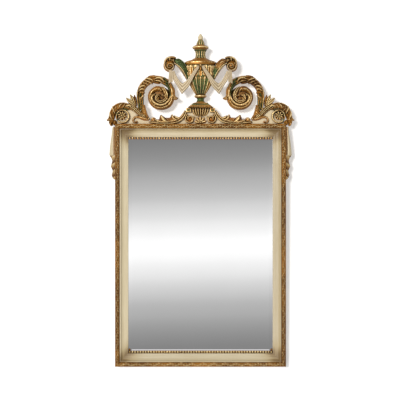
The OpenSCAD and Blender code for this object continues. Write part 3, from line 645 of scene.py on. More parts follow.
def edge_height(u, v):
    """Height and ridge of the edge moulding, u along and v in from the outer edge, in mm."""
    off = v - 9.6 - 2.6 * np.sin(2 * math.pi * u / LEAF_PITCH)
    stem = bump(off, 1.5)
    slant = u / (LEAF_PITCH / 4) + 0.13 * np.abs(off)
    leaflets = np.abs(np.sin(math.pi * slant)) ** 1.3 * bump(np.abs(off) - 4.2, 2.9)
    carved = np.maximum(stem * 0.9, leaflets * (0.8 + 0.2 * np.sin(1.7 * u)))
    crown = np.clip(1 - ((v - 9) / 9.6) ** 4, 0, 1)
    plain = np.clip(np.abs(v - 9.2) - 7.6, 0, 1)
    height = 0.40 + crown * (0.22 + 0.38 * carved)
    ridge = np.where(plain > 0.5, 0.35, 0.12 + 1.08 * carved)
    return np.clip(height, 0.2, 1) * EDGE_RISE, np.clip(ridge, 0, 1.1)


def gilt_edge(node, lying, sign, finish):
    """One carved run; sign is 1 for the top and right and -1 for the bottom and left."""
    half, reach = RAIL_TOP - FRAME_MID, FRAME_HALF
    if lying:
        half, reach = reach, half
    v = np.linspace(0, EDGE_WIDTH, 27)[None, :]
    u = np.linspace(-1, 1, int(2 * half / MM / EDGE_STEP))[:, None] * (half / MM - v)
    height, ridge = map(rimmed, edge_height(u, v))
    run, cross = rimmed(u * MM, "edge"), rimmed(sign * (reach - (v + 0 * u) * MM), "edge")
    x, z = (run, cross) if lying else (cross, run)
    carving = Carving(node + "_carved")
    carving.skin(np.stack([x, EDGE_BACK - height * MM, FRAME_MID + z], axis=-1), ridge)
    return carving.finish(finish, node)


plain_gilt = gilding("gilding_of_edge", wear_and_highlight=1.1)
deep_gilt = gilding("gilding_of_side_edges", tone=0.3, wear_and_highlight=0.95)
for node, *how in (("gilt_edge_top", True, 1, plain_gilt),
                   ("gilt_edge_bottom", True, -1, plain_gilt),
                   ("gilt_edge_left", False, -1, deep_gilt),
                   ("gilt_edge_right", False, 1, deep_gilt)):
    count = gilt_edge(node, *how)
print("edge points on the right stile:", count)

# %% [markdown]
# ## Pearls
#
# The upper pearl string is turned halves on a thin slip, and keeps the shape of the solid.
# The lower one is made again with longer pearls, because it shows broader in the picture.

# %% Pearls
PEARLS = 54
PEARL_PITCH = (2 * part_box("pearls_top")[1].x - 0.0015) / PEARLS


def pearl_gilding():
    """Bright on each pearl and painted shade in the gaps; warmer along its foot."""
    f = Finish("gilding_of_pearls")
    x, _, z = f.parts(f.place())
    swing = f.add("Math", {0: x * (2 * math.pi / PEARL_PITCH)}, operation="COSINE")
    gap = (swing * 0.5 + 0.5) ** 1.3
    fine = f.noise(260.0, 3.0, 0.6)
    body = f.mix(fine.rise(0.4, 0.65), LEAF_GOLD, RUBBED_LEAF_HIGHLIGHT)
    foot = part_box("pearls_top")[0].z
    low = 1 - z.rise(foot + 0.0015, foot + 0.004)
    body = f.mix(low * 0.8, body, LEAF_WARM)
    # Painted shade: dark in the gaps between the pearls and in their hollows.
    shade = f.hollow(0.004).rise(0.3, 0.95) * (1 - gap.rise(0.1, 0.55))
    body = f.mix((1 - shade) * 0.92, body, paint("2b130d"))
    return f.surface({"Base Color": body, "Metallic": shade * 0.4, "Roughness": 0.5 - shade * 0.2},
                     height=fine, depth=0.0003, strength=0.4)


give(pearl_gilding(), "pearls_top")


def lower_pearls():
    """Long pearls on a slip; one more stands at each end, where the string turns up."""
    low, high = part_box("pearls_bottom")
    back, front = (BACK - high.y) / MM - 0.8, (BACK - low.y) / MM
    half, pitch = high.x / MM, PEARL_PITCH / MM
    z = (low.z - RAIL_TOP) / MM + 5.7
    string = Carving("pearls_bottom_turned", sink=0)
    # The slip is set dark: painted shade between the pearls.
    strand(string, [[-half, z], [0, z], [half, z]], [11.2, 11.2], [back + 2.4, back + 2.4],
           back=back, step=6, lit=0)
    for i in range(PEARLS):
        blob(string, ((i + 0.5 - PEARLS / 2) * pitch, z + 0.2), (pitch * 0.36, 4.7), front,
             back=back, around=16, rings=7, ridge=1.0)
    for end in (-1, 1):
        blob(string, (end * (half - 5.0), z + 9.6), (4.4, 4.8), front, back=back, around=16,
             ridge=0.35)
    # More painted highlight and more painted shade than on the other gilding.
    string.finish(gilding("gilding_of_lower_pearls", wear_and_highlight=1.2, glaze_and_shade=1.35), "pearls_bottom")


lower_pearls()
print("pearls every", round(PEARL_PITCH / MM, 2), "mm")

# %% [markdown]
# ## Glass, back and fittings
#
# The glass is a silvered plate with a ground bevel: a mirror is a metal surface that is almost
# perfectly smooth.  The back is board and bare pine, with steel fittings and rubber bumpers.
# All of them keep the shape of the solid model, so each one only needs a finish.  The rings of
# the pine are a noise that is drawn out along the grain.

# %% Glass and back
glass = Finish("silvered_glass")
smear = glass.noise(6.0, 2.0)
give(glass.surface({"Base Color": glass.mix(smear, paint("f7f7f7"), paint("fbfbfb")),
                    "Metallic": 1.0, "Roughness": 0.015 + smear * 0.01}), "mirror_plate")


def bare_timber(name, light, dark, stretch):
    """Bare wood with rings and fibre drawn out along one axis."""
    f = Finish(name)
    ring = f.noise(45.0, 3.0, 0.5, f.stretched(*stretch))
    fibre = f.noise(600.0, 3.0, 0.6, f.stretched(*stretch))
    body = f.mix((ring * 0.8 + fibre * 0.4).rise(0.4, 0.8), light, dark)
    # Painted shade: darker in the hollows that ambient occlusion finds.
    body = f.mix((1 - f.hollow(0.008)) * 0.5, body, paint("3a2818"))
    return f.surface({"Base Color": body, "Roughness": 0.6 + fibre * 0.2},
                     height=fibre + ring * 0.4, depth=0.0004, strength=0.4)


def steel(name, light, dark):
    """Zinc plated steel with a fine brushed bloom."""
    f = Finish(name)
    bloom = f.noise(140.0, 4.0, 0.6)
    scratch = f.noise(900.0, 2.0, 0.5, f.stretched(1, 1, 0.15))
    body = f.mix(bloom.rise(0.35, 0.7), light, dark)
    return f.surface({"Base Color": body, "Metallic": 1.0, "Roughness": 0.3 + bloom * 0.25},
                     height=scratch, depth=0.0001, strength=0.4)


give(bare_timber("brown_backing_board", paint("9a7a56"), paint("7d5f3f"), (0.6, 1, 0.6)),
     "backing_board")
give(bare_timber("bare_pine", paint("d9b98a"), paint("b28a57"), (1, 1, 0.06)),
     "retaining_strips", "urn_batten")
give(steel("zinc_steel", paint("c9ccce"), paint("9da2a6")), "corner_braces", "crest_straps",
     "hanger_strap_left", "hanger_strap_right", "hanger_ring_left", "hanger_ring_right")
give(steel("zinc_screws", paint("d8d6cc"), paint("a9a596")), "brace_screws", "strap_screws",
     "batten_screws", "hanger_screws")
rubber = Finish("black_rubber")
dust = rubber.noise(300.0, 4.0, 0.7)
black = rubber.mix(dust.rise(0.5, 0.8), paint("1c1c1c"), paint("3a3936"))
give(rubber.surface({"Base Color": black, "Roughness": 0.7 + dust * 0.2}, height=dust,
                    depth=0.0002, strength=0.3), "bumper_left", "bumper_right")
print("plain pieces finished")

# %% [markdown]
# ## The urn
#
# The urn is turned work cut in half, so each part is half of a lathe shape with a flat back.
# The flutes are cut by changing the radius round the axis.  The belly has a ring of tongues
# with round tops, and below them a cup of pointed leaves whose channels are green.

# %% Turned work


def turned(name, outline, cut, count, around, depth=lambda r: 1.0):
    """Half turning from [height, half width] points.  cut(a, z) gives the share of the radius
    left, the ridge and the green at angle a, from 0 to 1 across the front; depth(r) says how
    far a half width is flattened."""
    carving = Carving(name)
    line = smooth_line(outline, count)
    a = np.linspace(0, 1, around)[None, :]
    z, r = line[:, :1], line[:, 1:]
    left, ridge, green = cut(a, z)
    reach = r * left
    bulge = np.maximum(reach * depth(r) * np.sin(math.pi * a), 0.0)
    carving.skin(crest_points(reach * np.cos(math.pi * a), bulge, z), ridge, green)
    return carving


def flute_phase(a, number):
    """Place inside each flute, from -1 at one side to 1 at the other."""
    return 2 * ((a * number) % 1.0) - 1


URN_DEPTH, URN_WIDEST, URN_ROUND = 38.0, 65, 19
URN_FLUTES = 9
CUP_TOP, TONGUE_TOP, CUP_FOOT = 190, 238, 120
FOOT_LINE = [[84, 27], [86.5, 25], [88, 19], [92, 16], [97, 14], [102, 14.5], [106, 19],
             [109, 23.5], [112, 25], [115, 24.5], [117, 22], [118, 19]]
BODY_LINE = [[118, 19], [126, 24], [136, 30.5], [148, 37.5], [160, 43.5], [176, 49.3],
             [188, 53], [192, 56], [196, 57], [200, 56], [220, 57.5], [236, 58.5], [239.5, 59.5],
             [242, 63.5], [245.5, 65], [249, 63.5], [252.5, 57], [256, 46], [259, 36], [264, 28]]
LID_LINE = [[264, 25.5], [267, 22.5], [272, 21], [278, 20], [286, 20.3], [292, 21.5],
            [295.5, 24], [298, 25], [301, 26], [304, 30.5], [307.5, 33], [310.5, 32.3],
            [313.5, 28.5], [316.5, 23], [319, 17]]
KNOB_LINE = [[319, 17], [325, 16.5], [331, 14], [337, 11], [342, 9]]
BUD_LINE = [[340, 8.5], [344, 10], [348, 10.6], [352.5, 9.4], [357, 7.0], [361, 4.4],
            [363.4, 2.4], [364, 0.4]]


def urn_depth(r):
    """Depth as a share of the half width: round up to `URN_ROUND`, flatter at the shoulder."""
    return 1 + (URN_DEPTH / URN_WIDEST - 1) * np.clip(
        (r - URN_ROUND) / (URN_WIDEST - URN_ROUND), 0, 1)


def body_cut(a, z):
    """Tongues above, pointed leaves in the cup, plain mouldings between."""
    p = flute_phase(a, URN_FLUTES)
    top = np.sqrt(np.clip(1 - np.clip((z - 228) / 8, 0, 1) ** 2, 0, 1))
    low = np.clip((z - CUP_TOP) / 5, 0, 1)
    edge = np.abs(p) / np.maximum(0.80 * top * low, 1e-3)
    tongue = np.clip((1 - edge) * 6, 0, 1)
    rim = bump(edge - 0.80, 0.20) + 0.8 * bump(z - 231, 4.5) * tongue
    upper, cup = (z > CUP_TOP) & (z < TONGUE_TOP), z <= CUP_TOP
    half = np.clip((z + 2 - 118) / 60, 0, 1) ** 0.6 * np.clip((194 - z) / 16, 0, 1) ** 0.6
    blade = np.clip(1 - np.abs(p) / np.maximum(half, 1e-3), 0, 1)
    rib = bump(p, 0.16) * (blade > 0)
    q = flute_phase(a + 0.5 / URN_FLUTES, URN_FLUTES)
    back_leaf = np.clip(1 - np.abs(q) / 0.5, 0, 1) * np.clip((z - CUP_FOOT) / 30, 0, 1)
    drop = np.where(upper, 0.075 - 0.045 * tongue - 0.05 * rim, 0.0)
    tips = bump(z - 184, 6) * bump(p, 0.55)
    drop = np.where(cup, 0.13 * (1 - blade**0.6) - 0.045 * rib - 0.05 * back_leaf
                    - 0.05 * tips, drop)
    # Tongue rims and tops, ribs, leaf tips and the shoulder's upper edge get a high ridge: worn
    # leaf and painted highlight.
    ridge = np.where(upper, 0.12 + 0.42 * tongue + 0.5 * rim, 0.5 + 0.4 * bump(z - 248, 3))
    ridge = np.where(cup, 0.12 + 0.35 * blade + 0.6 * rib + 0.35 * back_leaf + 0.6 * tips,
                     ridge)
    green = np.where(upper, 1.0 - tongue - rim, 0.0)
    bare = bump(np.abs(2 * a - 1) - 0.72, 0.22) * (z < 168)
    green = np.where(cup, 1.05 - 0.8 * rib - 0.5 * back_leaf - tips - 0.8 * bare, green)
    return (1 - drop, np.clip(ridge, 0, 1) * (1 + 0.2 * (z < TONGUE_TOP)),
            np.clip(green, 0, 1) * (z > CUP_FOOT))


def foot_cut(a, z):
    """Plain mouldings with a bright bead, as worn leaf and painted highlight, and a green neck."""
    return 1.0, 0.55 + 0.5 * bump(z - 113, 3), (np.abs(z - 98) < 8) * 0.9


def lid_cut(a, z):
    """Six gilt ribs on a green neck, plain mouldings above and below."""
    p = flute_phase(a, 6)
    neck = (z > 265) & (z < 293)
    # The lid's rim at 309 is painted bright as highlight, and the hollow at 301 below it dark as
    # shade.
    ridge = np.where(neck, 1.25 * bump(p, 0.36), 0.5 + 0.6 * bump(z - 309, 3)
                     - 0.45 * bump(z - 301, 3.5))
    drop = np.where(neck, 0.10 * (1 - ridge), 0.0)
    band = bump(z - 296, 3)
    return 1 - drop, np.clip(ridge, 0.05, 1.3), np.where(neck, 1.2 * (1 - ridge), band)


def knob_cut(a, z):
    """Six leaves with green between their ribs."""
    p = flute_phase(a, 6)
    return 0.86 + 0.14 * (1 - np.abs(p)) ** 0.5, 0.25 + bump(p, 0.3), 1.1 * np.abs(p) ** 0.8


def bud_cut(a, z):
    """Three petals with a fine cut between them."""
    return 1 - 0.05 * bump(np.abs(flute_phase(a, 3)) - 1, 0.15), 0.6, 0.0


turned("urn_foot_turned", FOOT_LINE, foot_cut, 70, 64).finish(
    gilt_green, "urn_foot", slot=GREEN_GILT)
belly = turned("urn_body_fluted", BODY_LINE, body_cut, 150, URN_FLUTES * 22 + 1, urn_depth)
print("urn belly points:", belly.finish(gilt_green, "urn_body", slot=GREEN_GILT))
turned("urn_lid_fluted", LID_LINE, lid_cut, 80, 99).finish(
    gilt_green, "urn_lid", slot=GREEN_GILT)
turned("bud_leaves", KNOB_LINE, knob_cut, 40, 73).finish(gilt_green, slot=GREEN_GILT)
turned("bud", BUD_LINE, bud_cut, 40, 49).finish(cream_carved, "bud_finial", slot=CREAM_WOOD)

# %% [markdown]
# The swags hang from a boss on the belly: a knot of small petals round a pearl, with a short
# drop below it.

# %% Boss
BELLY_HALF = 57.0
boss_front = float(urn_depth(BELLY_HALF) * BELLY_HALF) - 3
boss = Carving("urn_boss_knot")
for turn in range(30, 390, 60):
    place = round_line((0, 231), 5.2, turn, turn, 1)[0]
    blob(boss, place, (3.9, 3.0), boss_front + 14, back=boss_front, turn=turn, around=14, rings=6)
# The middle pearl is painted bright: a painted highlight.
blob(boss, (0, 233), (4.6, 4.6), boss_front + 21, back=boss_front, around=18, rings=8, ridge=1.3)
strand(boss, [[0, 226], [0.5, 219], [-0.5, 212]], [7, 10, 5], [boss_front + 14] * 3,
       back=boss_front, lit=0.7)
print("boss points:", boss.finish(gilt, "urn_boss"))

# %% [markdown]
# ## Handles
#
# Each handle rises from the belly as a broad arm with a gilt bead along its inner edge, and
# rolls over into a tight volute.  The left arm was glazed green all along, the right one only
# low down.  The volute is a ribbon of its own, wound in to its eye over a low disc.

# %% Handles
ARM = [[48, 172], [56, 194], [63, 212], [72, 229], [83, 243], [96, 252.5], [108, 255.5]]
VOLUTE = (126.0, 236.0)
VOLUTE_LINE = [[99, 264], [115, 266.5], [130, 263.5], [140, 254.5], [142.5, 242], [141, 230],
               [135.5, 221], [125.5, 216.5], [114.5, 221], [109.5, 231], [113.5, 239.5],
               [122, 241.5], [130, 236.5], [130.5, 228.5], [124, 225.5], [119, 229.5]]

BEAD_LINE = [[107, 243.5], [94, 237.5], [80.5, 225.3], [69.4, 210.9], [60.5, 194.2], [55, 182]]
# x, z, radii, turn and the strength of the painted highlight on each knot.
VOLUTE_KNOTS = ((123, 259.5, (4.6, 6.4), 20, 1.3), (113, 256, (4, 6), -30, 0.9),
                (138, 243, (2.6, 5.5), 10, 1.2), (126.5, 232, (4, 3), 60, 1.4),
                (116.5, 229.5, (2.4, 3.4), -20, 1.1), (133, 256, (3, 5), 50, 0.8))


def handle(side, name):
    arm = Carving(f"handle_{name}_carved")

    def section(t, s):
        vein = 0.10 * np.sin(math.pi * (3 * t + 5 * s)) * np.clip(t + 0.4, 0, 1)
        return 0.52 + 0.26 * dome(t, 2) + 0.40 * bump(t + 0.84, 0.10) - 0.2 * bump(
            t + 0.62, 0.08) + vein

    strand(arm, ARM, [8, 16, 24, 29, 31, 30, 9], [20, 22, 24, 26, 27, 27, 24], side, section,
           across=27, green=lambda t, s: np.clip((t + 0.7) * 5, 0, 1) * (
               1.0 if side < 0 else 0.95 * bump(s - 0.3, 0.3)))
    blob(arm, VOLUTE, (23.5, 25.5), 20, side, around=34, ridge=0.6, green=0.15)
    # The volute, its bead and its knots are given painted highlights through their lit numbers.
    strand(arm, VOLUTE_LINE, [10, 14, 14, 13, 11, 10, 9, 9, 9, 8.5, 8, 8, 7, 6, 5, 4],
           [25, 29, 30, 30, 30, 30, 30, 31, 32, 33], side, finger, across=15,
           lit=lambda t, s: 0.85 + 0.45 * s + 0.45 * bump(s - 0.22, 0.07))
    strand(arm, BEAD_LINE, [4, 6, 6.5, 6.5, 6, 4], [28, 31, 31, 30, 28, 26], side, lit=1.2)
    for x, z, radii, turn, lit in VOLUTE_KNOTS:
        blob(arm, (x, z), radii, 34, side, turn=turn, around=18, ridge=lit)
    strand(arm, [[106, 246], [109, 255], [107, 263]], [5, 9, 5], [28, 31, 28], side, finger)
    return arm.finish(gilt_green, f"handle_{name}", slot=GREEN_GILT)


both("handle", handle)

# %% [markdown]
# ## Swags
#
# The cloth is drawn tight: it falls straight from the boss to a sharp fold and rises straight
# to the handle, with three pleats that are deepest in the fold.  It is made as a ruled skin
# between its two long edges, and a sharp turn is kept at the fold.  Below the volute its loose
# end falls in flat folds.

# %% Swags
SWAG_EDGES = [[[4.5, 224], [25, 190], [47, 148], [74.5, 119.3], [87, 140], [97, 158],
               [108.6, 175], [118, 205]],
              [[10, 235], [34, 203.5], [57, 172.5], [71.5, 162.5], [82, 170], [89, 180],
               [97, 195], [105, 214]]]
SWAG_FRONT = boss_front + 13
SWAG_RELIEF = [SWAG_FRONT, SWAG_FRONT - 1, SWAG_FRONT - 6, 31, 30, 29, 29, 29]
SWAG_THICK, SWAG_PLEATS, PLEAT_DEPTH, PLEAT_ROWS = 13, 3, 5.2, 16
FOLD_AT = 0.43


def swag(side, name):
    """The tight part: its two edges are cut in even steps between their marked points."""
    knot = np.arange(len(SWAG_RELIEF))
    at = np.linspace(0, knot[-1], PLEAT_ROWS * knot[-1], endpoint=False)
    at = np.append(at[:-PLEAT_ROWS], np.linspace(knot[-2], knot[-1], PLEAT_ROWS))[:, None]
    low, high = (np.stack([np.interp(at, knot, axis) for axis in np.transpose(edge)])
                 for edge in SWAG_EDGES)
    t = np.linspace(-1, 1, 40)[None, :]
    x, z = (low + high) / 2 + (high - low) / 2 * t
    h = np.interp(at, knot, SWAG_RELIEF)
    p = (t / 2 + 0.5) * SWAG_PLEATS % 1.0
    fold = 0.8 * np.sin(math.pi * p) ** 0.75 + 0.2 * p
    edge = dome(t, 8)
    drawn = 0.45 + 0.55 * bump(np.linspace(0, 1, len(x))[:, None] - FOLD_AT, 0.16)
    front = crest_points(x, h - PLEAT_DEPTH * drawn * (1 - fold) - 5 * (1 - edge), z, side)
    under = crest_points(x[:, [0, -1]], h - SWAG_THICK, z[:, [0, -1]], side)
    cloth = Carving(f"swag_{name}_pleated")
    # The ridge is low at the edges and in the fold and high on the crests: painted shade and
    # highlight.
    cloth.skin(wrap(front, under), rimmed((0.72 * (1 - drawn) + fold * drawn) * edge))
    return cloth.finish(cream_cloth, f"swag_{name}", slot=CREAM_WOOD)


def swag_tail(side, name):
    """The loose end: u runs across its three flat folds and v runs down."""
    u, v = np.linspace(0, 1, 45)[None, :], np.linspace(0, 1, 30)[:, None]
    saw = (u * 3.0) % 1.0
    foot = 170.5 - 7.5 * u - 3.0 * (1 - np.abs(2 * ((u * 2.5) % 1.0) - 1))
    x = (112 + 13 * u) * (1 - v) + (110.2 + 19 * u) * v
    z = (213 + 3 * u) * (1 - v) + foot * v
    front = crest_points(x, 32.5 - 3.8 * saw * (0.4 + 0.6 * v), z, side)
    under = crest_points(x[:, [0, -1]], 27.2, z[:, [0, -1]], side)
    cloth = Carving(f"swag_tail_{name}_folded")
    cloth.skin(wrap(front, under), rimmed((1 - saw) * 0.8 + 0.1 + 0 * x))
    return cloth.finish(cream_cloth, f"swag_tail_{name}", slot=CREAM_WOOD)


# The cloth's finish paints shade in its folds and hollows and a highlight on the fold crests.
cream_cloth = cream_paint("cream_on_cloth", toning=0.3, hollows=0.004, dark=0.6,
                          base=paint("cdba9a"), pleats=0.45)
both("swag", lambda side, name: swag(side, name) + swag_tail(side, name))

# %% [markdown]
# ## The big scrolls
#
# A reeded stalk rises from the leaves, bends over in a round arch and winds in.  Two more bands
# wind inside it, and small bosses stand where they meet, so that the disc seems to swirl.
# Short leaves lie over the arch and point down to its inner edge.

# %% Scroll
ARCH_CENTRE, ARCH_RADIUS = (177.2, 116.0), 65.2
STALK = [[238, 58], [240.5, 76], [242.4, 96]]
FIRST_TURN = [[114.5, 138], [113, 122], [114.3, 106], [118.5, 91], [127.5, 77], [142, 68.5],
              [159, 65.5], [177.5, 68.5], [192.5, 79], [201.5, 94], [203.7, 110], [199.5, 125],
              [189.5, 136.5], [176, 142.5], [163, 141], [156, 131]]
SECOND_TURN = [[120, 124], [121, 108], [128.5, 93.5], [142, 81.5], [159, 77], [177, 80.5],
               [190.5, 91], [196, 104], [191, 116], [181, 121]]
THIRD_TURN = [[158, 150], [147, 139], [138, 122], [137.5, 105], [146.5, 93.5], [160, 89.5],
              [173, 94.5], [178, 105], [173.5, 114.5], [164, 117]]
ARCH_LEAVES = (([[242, 156], [232, 156], [223, 152], [218, 148]], 8, 29, 1, 0.1),
               ([[234, 166], [223, 164], [212, 159], [207, 154]], 9.5, 30, 1.05, 0.1),
               ([[227, 175], [212, 172], [199, 166], [193, 160]], 10.5, 31, 1.1, 0),
               ([[221, 182], [209, 183], [195, 178], [189, 171]], 12, 33, 1.25, 0.1),
               ([[187, 166], [174, 166], [162, 163]], 8, 28, 0.85, 0.3),
               ([[185, 173], [173, 175], [161, 172], [153, 165]], 10.5, 31, 1.15, 0),
               ([[185, 180], [172, 187], [157, 184], [149, 175], [149, 167]], 12, 33, 1.3, 0.1),
               ([[148, 188], [138, 177], [132, 166], [132, 155]], 11, 29, 0.75, 0.95),
               ([[135, 182], [123, 166], [116, 151], [112, 133]], 10, 27, 0.75, 0.3),
               ([[141, 164], [130, 153], [123, 137], [122, 122]], 8, 31, 1, 0.85),
               ([[244, 107], [243, 115], [241, 123], [241, 132]], 8, 27, 0.8, 0.95),
               ([[246, 123], [238, 128], [230, 128], [225, 122]], 11, 30, 0.9, 0.1),
               ([[248, 132], [240, 140], [230, 141], [223, 136]], 11, 32, 1.2, 0),
               ([[246, 142], [238, 152], [225, 154], [219, 148]], 11, 33, 1.3, 0.1),
               ([[239, 100], [237, 107], [230, 114], [226, 111]], 9, 32, 1.4, 0.1),
               ([[253, 111], [254, 122], [252, 132], [248, 142]], 6, 30, 1.3, 0.3),
               ([[241, 93], [234, 102], [228, 104]], 8, 28, 0.9, 0.5),
               ([[212, 190], [199, 192], [181, 195]], 7, 26, 0.8, 0.2))
SCROLL_KNOTS = ((133, 101, 55, 1.1), (127, 96, 45, 1.5), (181, 79, 150, 1.4),
                (194, 95, 115, 1.3), (187.5, 117, 40, 1.3), (152, 115, 20, 1.5),
                (177, 108, 80, 1.4))


def scroll(side, name):
    wood = Carving(f"scroll_{name}_carved")

    def reed(t):
        return np.abs(np.sin(math.pi * 1.5 * (t + 1)))

    def section(t, s):
        winding = np.clip((s - 0.44) / 0.05, 0, 1)
        straight = ((0.34 + 0.5 * dome(t, 2.6)) * (0.6 + 0.4 * reed(t) ** 0.7)
                    + 0.28 * bump(t + 0.8, 0.2))
        nicks = 0.16 * wave(s * 90 + t) * np.clip(-t, 0, 1) * bump(s - 0.62, 0.05)
        roof = 1 - np.minimum(1, np.abs(t - 0.05) / 1.15) ** 1.8
        wound = 0.2 + 0.8 * roof - 0.25 * bump(t + 0.42, 0.16) - nicks
        return straight * (1 - winding) + wound * winding

    def green(t, s):
        low = np.clip(1.2 - s / 0.15, 0, 1) + 1.1 * bump(s - 0.445, 0.05)
        return np.clip(low * (1.5 - reed(t)), 0, 1)

    line = np.vstack([STALK, round_line(ARCH_CENTRE, ARCH_RADIUS, 4, 155, 22), FIRST_TURN])
    ribbon(wood, smooth_line(line, 420), steps([0, 0.1, 0.25, 0.4, 0.5, 0.6, 0.8, 0.9, 0.96, 1],
                                               [24, 29, 29.5, 28, 23, 19, 15, 18, 22, 10]),
           steps([0, 0.12, 0.42, 0.48, 0.8, 0.95, 1], [20, 20, 20, 22, 23, 29, 26]), section,
           side, across=27, green=green, lit=0.9)
    # The ground inside the windings is set dark: painted shade.
    blob(wood, (160, 107), (44, 44), 12, side, around=40, ridge=0.05)
    strand(wood, SECOND_TURN, [5, 9, 12, 12, 12, 13, 13, 13, 11, 6],
           [20, 25, 27, 27, 27, 28, 28, 29, 27, 22], side,
           green=lambda t, s: 0.9 * bump(s - 0.03, 0.09) + 0.7 * bump(s - 0.93, 0.06))
    strand(wood, THIRD_TURN, [7, 16, 19, 16, 15, 15, 15, 14, 13, 9],
           [20, 26, 30, 31, 31, 31, 31, 31, 30, 27], side, reeded(2, 0.34), across=23,
           green=lambda t, s: 0.8 * bump(t + 0.95, 0.25))
    blob(wood, (169, 102.5), (9.5, 5.2), 33, side, turn=125, around=20)
    blob(wood, (156, 114.5), (4.8, 4.2), 33, side, around=18)
    blob(wood, (145, 112.5), (8.5, 4.6), 34, side, turn=100, around=20)
    # The knots are set bright: painted highlights.
    knots(wood, SCROLL_KNOTS, (7, 3.4), 32.5, side, 0.8)
    # The leaves' painted highlights are dimmer on the right scroll than on the left.
    leaflets(wood, ARCH_LEAVES, (0.5, 0.95, 1.15, 1.0, 0.4), (-9, -4, -4, -4, -10), side,
             dim=0.92 if side < 0 else 0.82, back=5, step=1.2)
    leaf(wood, [[112, 118], [104, 106], [97, 103.5], [89.5, 104.5]], 15, 21, side, lobes=2,
         notch=0.2, vein=0.3)
    return wood.finish(gilt_green, f"scroll_{name}")


both("scroll", scroll)

# %% [markdown]
# ## Corners
#
# At each end a ring with a flower in it lies on the rail.  A long acanthus leaf rolls over it
# and ends in a claw outside the frame.  Its rim is plain, and deep shadow lies between the
# full lobes that hang over the ring.

# %% Corner leaf, ring and flower
RING = (312.5, 30.5)
FLOWER = np.array([315.2, 34.0])
OVER_LEAF = [[270, 58], [281, 66], [294, 71.5], [312, 74.5], [330, 70], [343.5, 59.5], [352, 45],
             [356, 30], [359, 16], [359, 4], [354, -6]]
UNDER_LEAF = [[286, 60], [304, 60], [322, 57], [337, 47], [345, 33]]
LOBES = (([[352, 72], [349, 59], [341.5, 42]], 10.5, 36, 1.4),
         ([[362, 50], [361, 38], [355, 20]], 11.5, 36, 1.4),
         ([[340, 74], [338, 62], [331, 52]], 10.5, 34, 0.95),
         ([[350, 50], [349, 38], [344, 24]], 8, 32, 0.8),
         ([[314, 81], [320, 75], [327, 64]], 10.5, 36, 1.35),
         ([[302, 80], [306, 73], [313, 62]], 8, 33, 1.0),
         ([[275, 64], [287, 72], [301, 69]], 14, 36, 1.3),
         ([[296, 73], [290, 68], [285, 63]], 6, 36, 1.3),
         ([[346, 14], [362, 18], [376.2, 15.4]], 13, 27, 0.85),
         ([[356, 8], [360, 1], [356, -8]], 11, 26, 0.85),
         ([[341, 16], [343, 5], [346, -5]], 17, 25, 0.8),
         ([[366, 26], [370, 20], [368, 12]], 5, 30, 1.2))

# A brighter copy of the gilding for the flowers: more painted highlight, less painted shade.
gilt_flower = gilding("gilding_of_flowers", wear_and_highlight=1.5, glaze_and_shade=0.7)


def corner(side, name):
    wood = Carving(f"corner_volute_{name}_carved")
    ribbon(wood, round_line(RING, 24.6, 0, 360, 73), lambda s: 7, lambda s: 30, rounded, side,
           across=13, green=lambda t, s: 0.95 * (bump(s - 0.06, 0.05) + bump(s - 0.9, 0.05)),
           lit=lambda t, s: 1.25 - 0.5 * bump(s - 0.98, 0.1) - 0.4 * bump(s - 0.2, 0.1))
    # The ground inside the ring is set dark: painted shade.
    blob(wood, RING, (26, 26), 12, side, around=40, shape=0.15, ridge=0.05)

    def section(t, s):
        rim, folds = 0.22 * bump(t - 0.78, 0.2), 0.12 * wave(1.6 * t + 0.3)
        return 0.50 + 0.30 * dome(t, 2.6) + rim - folds

    ribbon(wood, smooth_line(OVER_LEAF, 170),
           steps([0, 0.15, 0.5, 0.78, 0.9, 1], [12, 24, 27.5, 25, 18, 7]),
           steps([0, 0.5, 0.85, 1], [28, 32, 27, 20]), section, side, across=27, lit=0.95)
    # A dark strand under the leaf: painted shadow between its lobes and the ring.
    strand(wood, UNDER_LEAF, [10, 22, 24, 18, 8], [16, 18, 18, 16, 14], side, lit=0.15,
           green=0.5)
    leaflets(wood, LOBES, (0.4, 1, 1, 0.45), (-4, 0, -3), side, back=8, step=1.0)
    points = wood.finish(gilt_green, f"corner_volute_{name}")

    flower = Carving(f"corner_rosette_{name}_flower")
    # The flower's ground is set dark: painted shade between the petals.
    blob(flower, FLOWER, (17, 17), 15, side, back=11, around=36, ridge=0.15)
    for turn in range(12, 372, 45):
        petal = [round_line(FLOWER, reach, turn, turn, 1)[0] for reach in (3, 8, 13, 17.5)]
        strand(flower, petal, [3, 6.5, 9, 4], [29, 32, 32, 27], side, finger, back=12, step=0.8,
               lit=1.4)
    blob(flower, FLOWER, (4.2, 4.2), 33, side, back=12, around=18, rings=8, ridge=1.2)
    return points + flower.finish(gilt_flower, f"corner_rosette_{name}")


both("corner", corner)

# %% [markdown]
# ## Leaves along the foot
#
# Behind the corner a spray of three leaves stands up, and a ribbed stem sweeps down from it
# into a calyx.  A curl lies below.  The four reeds of the stem are one section, so that they
# narrow with the stem as carved reeds do.

# %% Spray
STEM = [[291, 78], [278, 71], [260.5, 58], [245.5, 43.5], [230.5, 31], [213, 17.5]]
CURL = [[207, 17], [227, 20], [246, 26], [261, 26], [269.5, 17.5], [266, 8], [257, 4.5]]
UPRIGHT = [[227.5, 77], [226.5, 60], [223.5, 43], [213, 28], [203, 19]]
SPRAY_LEAVES = (([[258, 72], [262, 90], [264, 104], [265.5, 117]], 10.5, 27, 0.75),
                ([[262, 75], [270, 92], [276, 106], [281.5, 118]], 13.5, 29, 1.3),
                ([[261, 74], [277, 85], [289, 96], [297.5, 104.5]], 14.5, 31, 1.3))
SPRAY_KNOTS = ((226.5, 33.5, 125, 1.4), (214, 27, 130, 1.0), (207.5, 21.5, 140, 1.5),
               (235, 41, 130, 1.1))


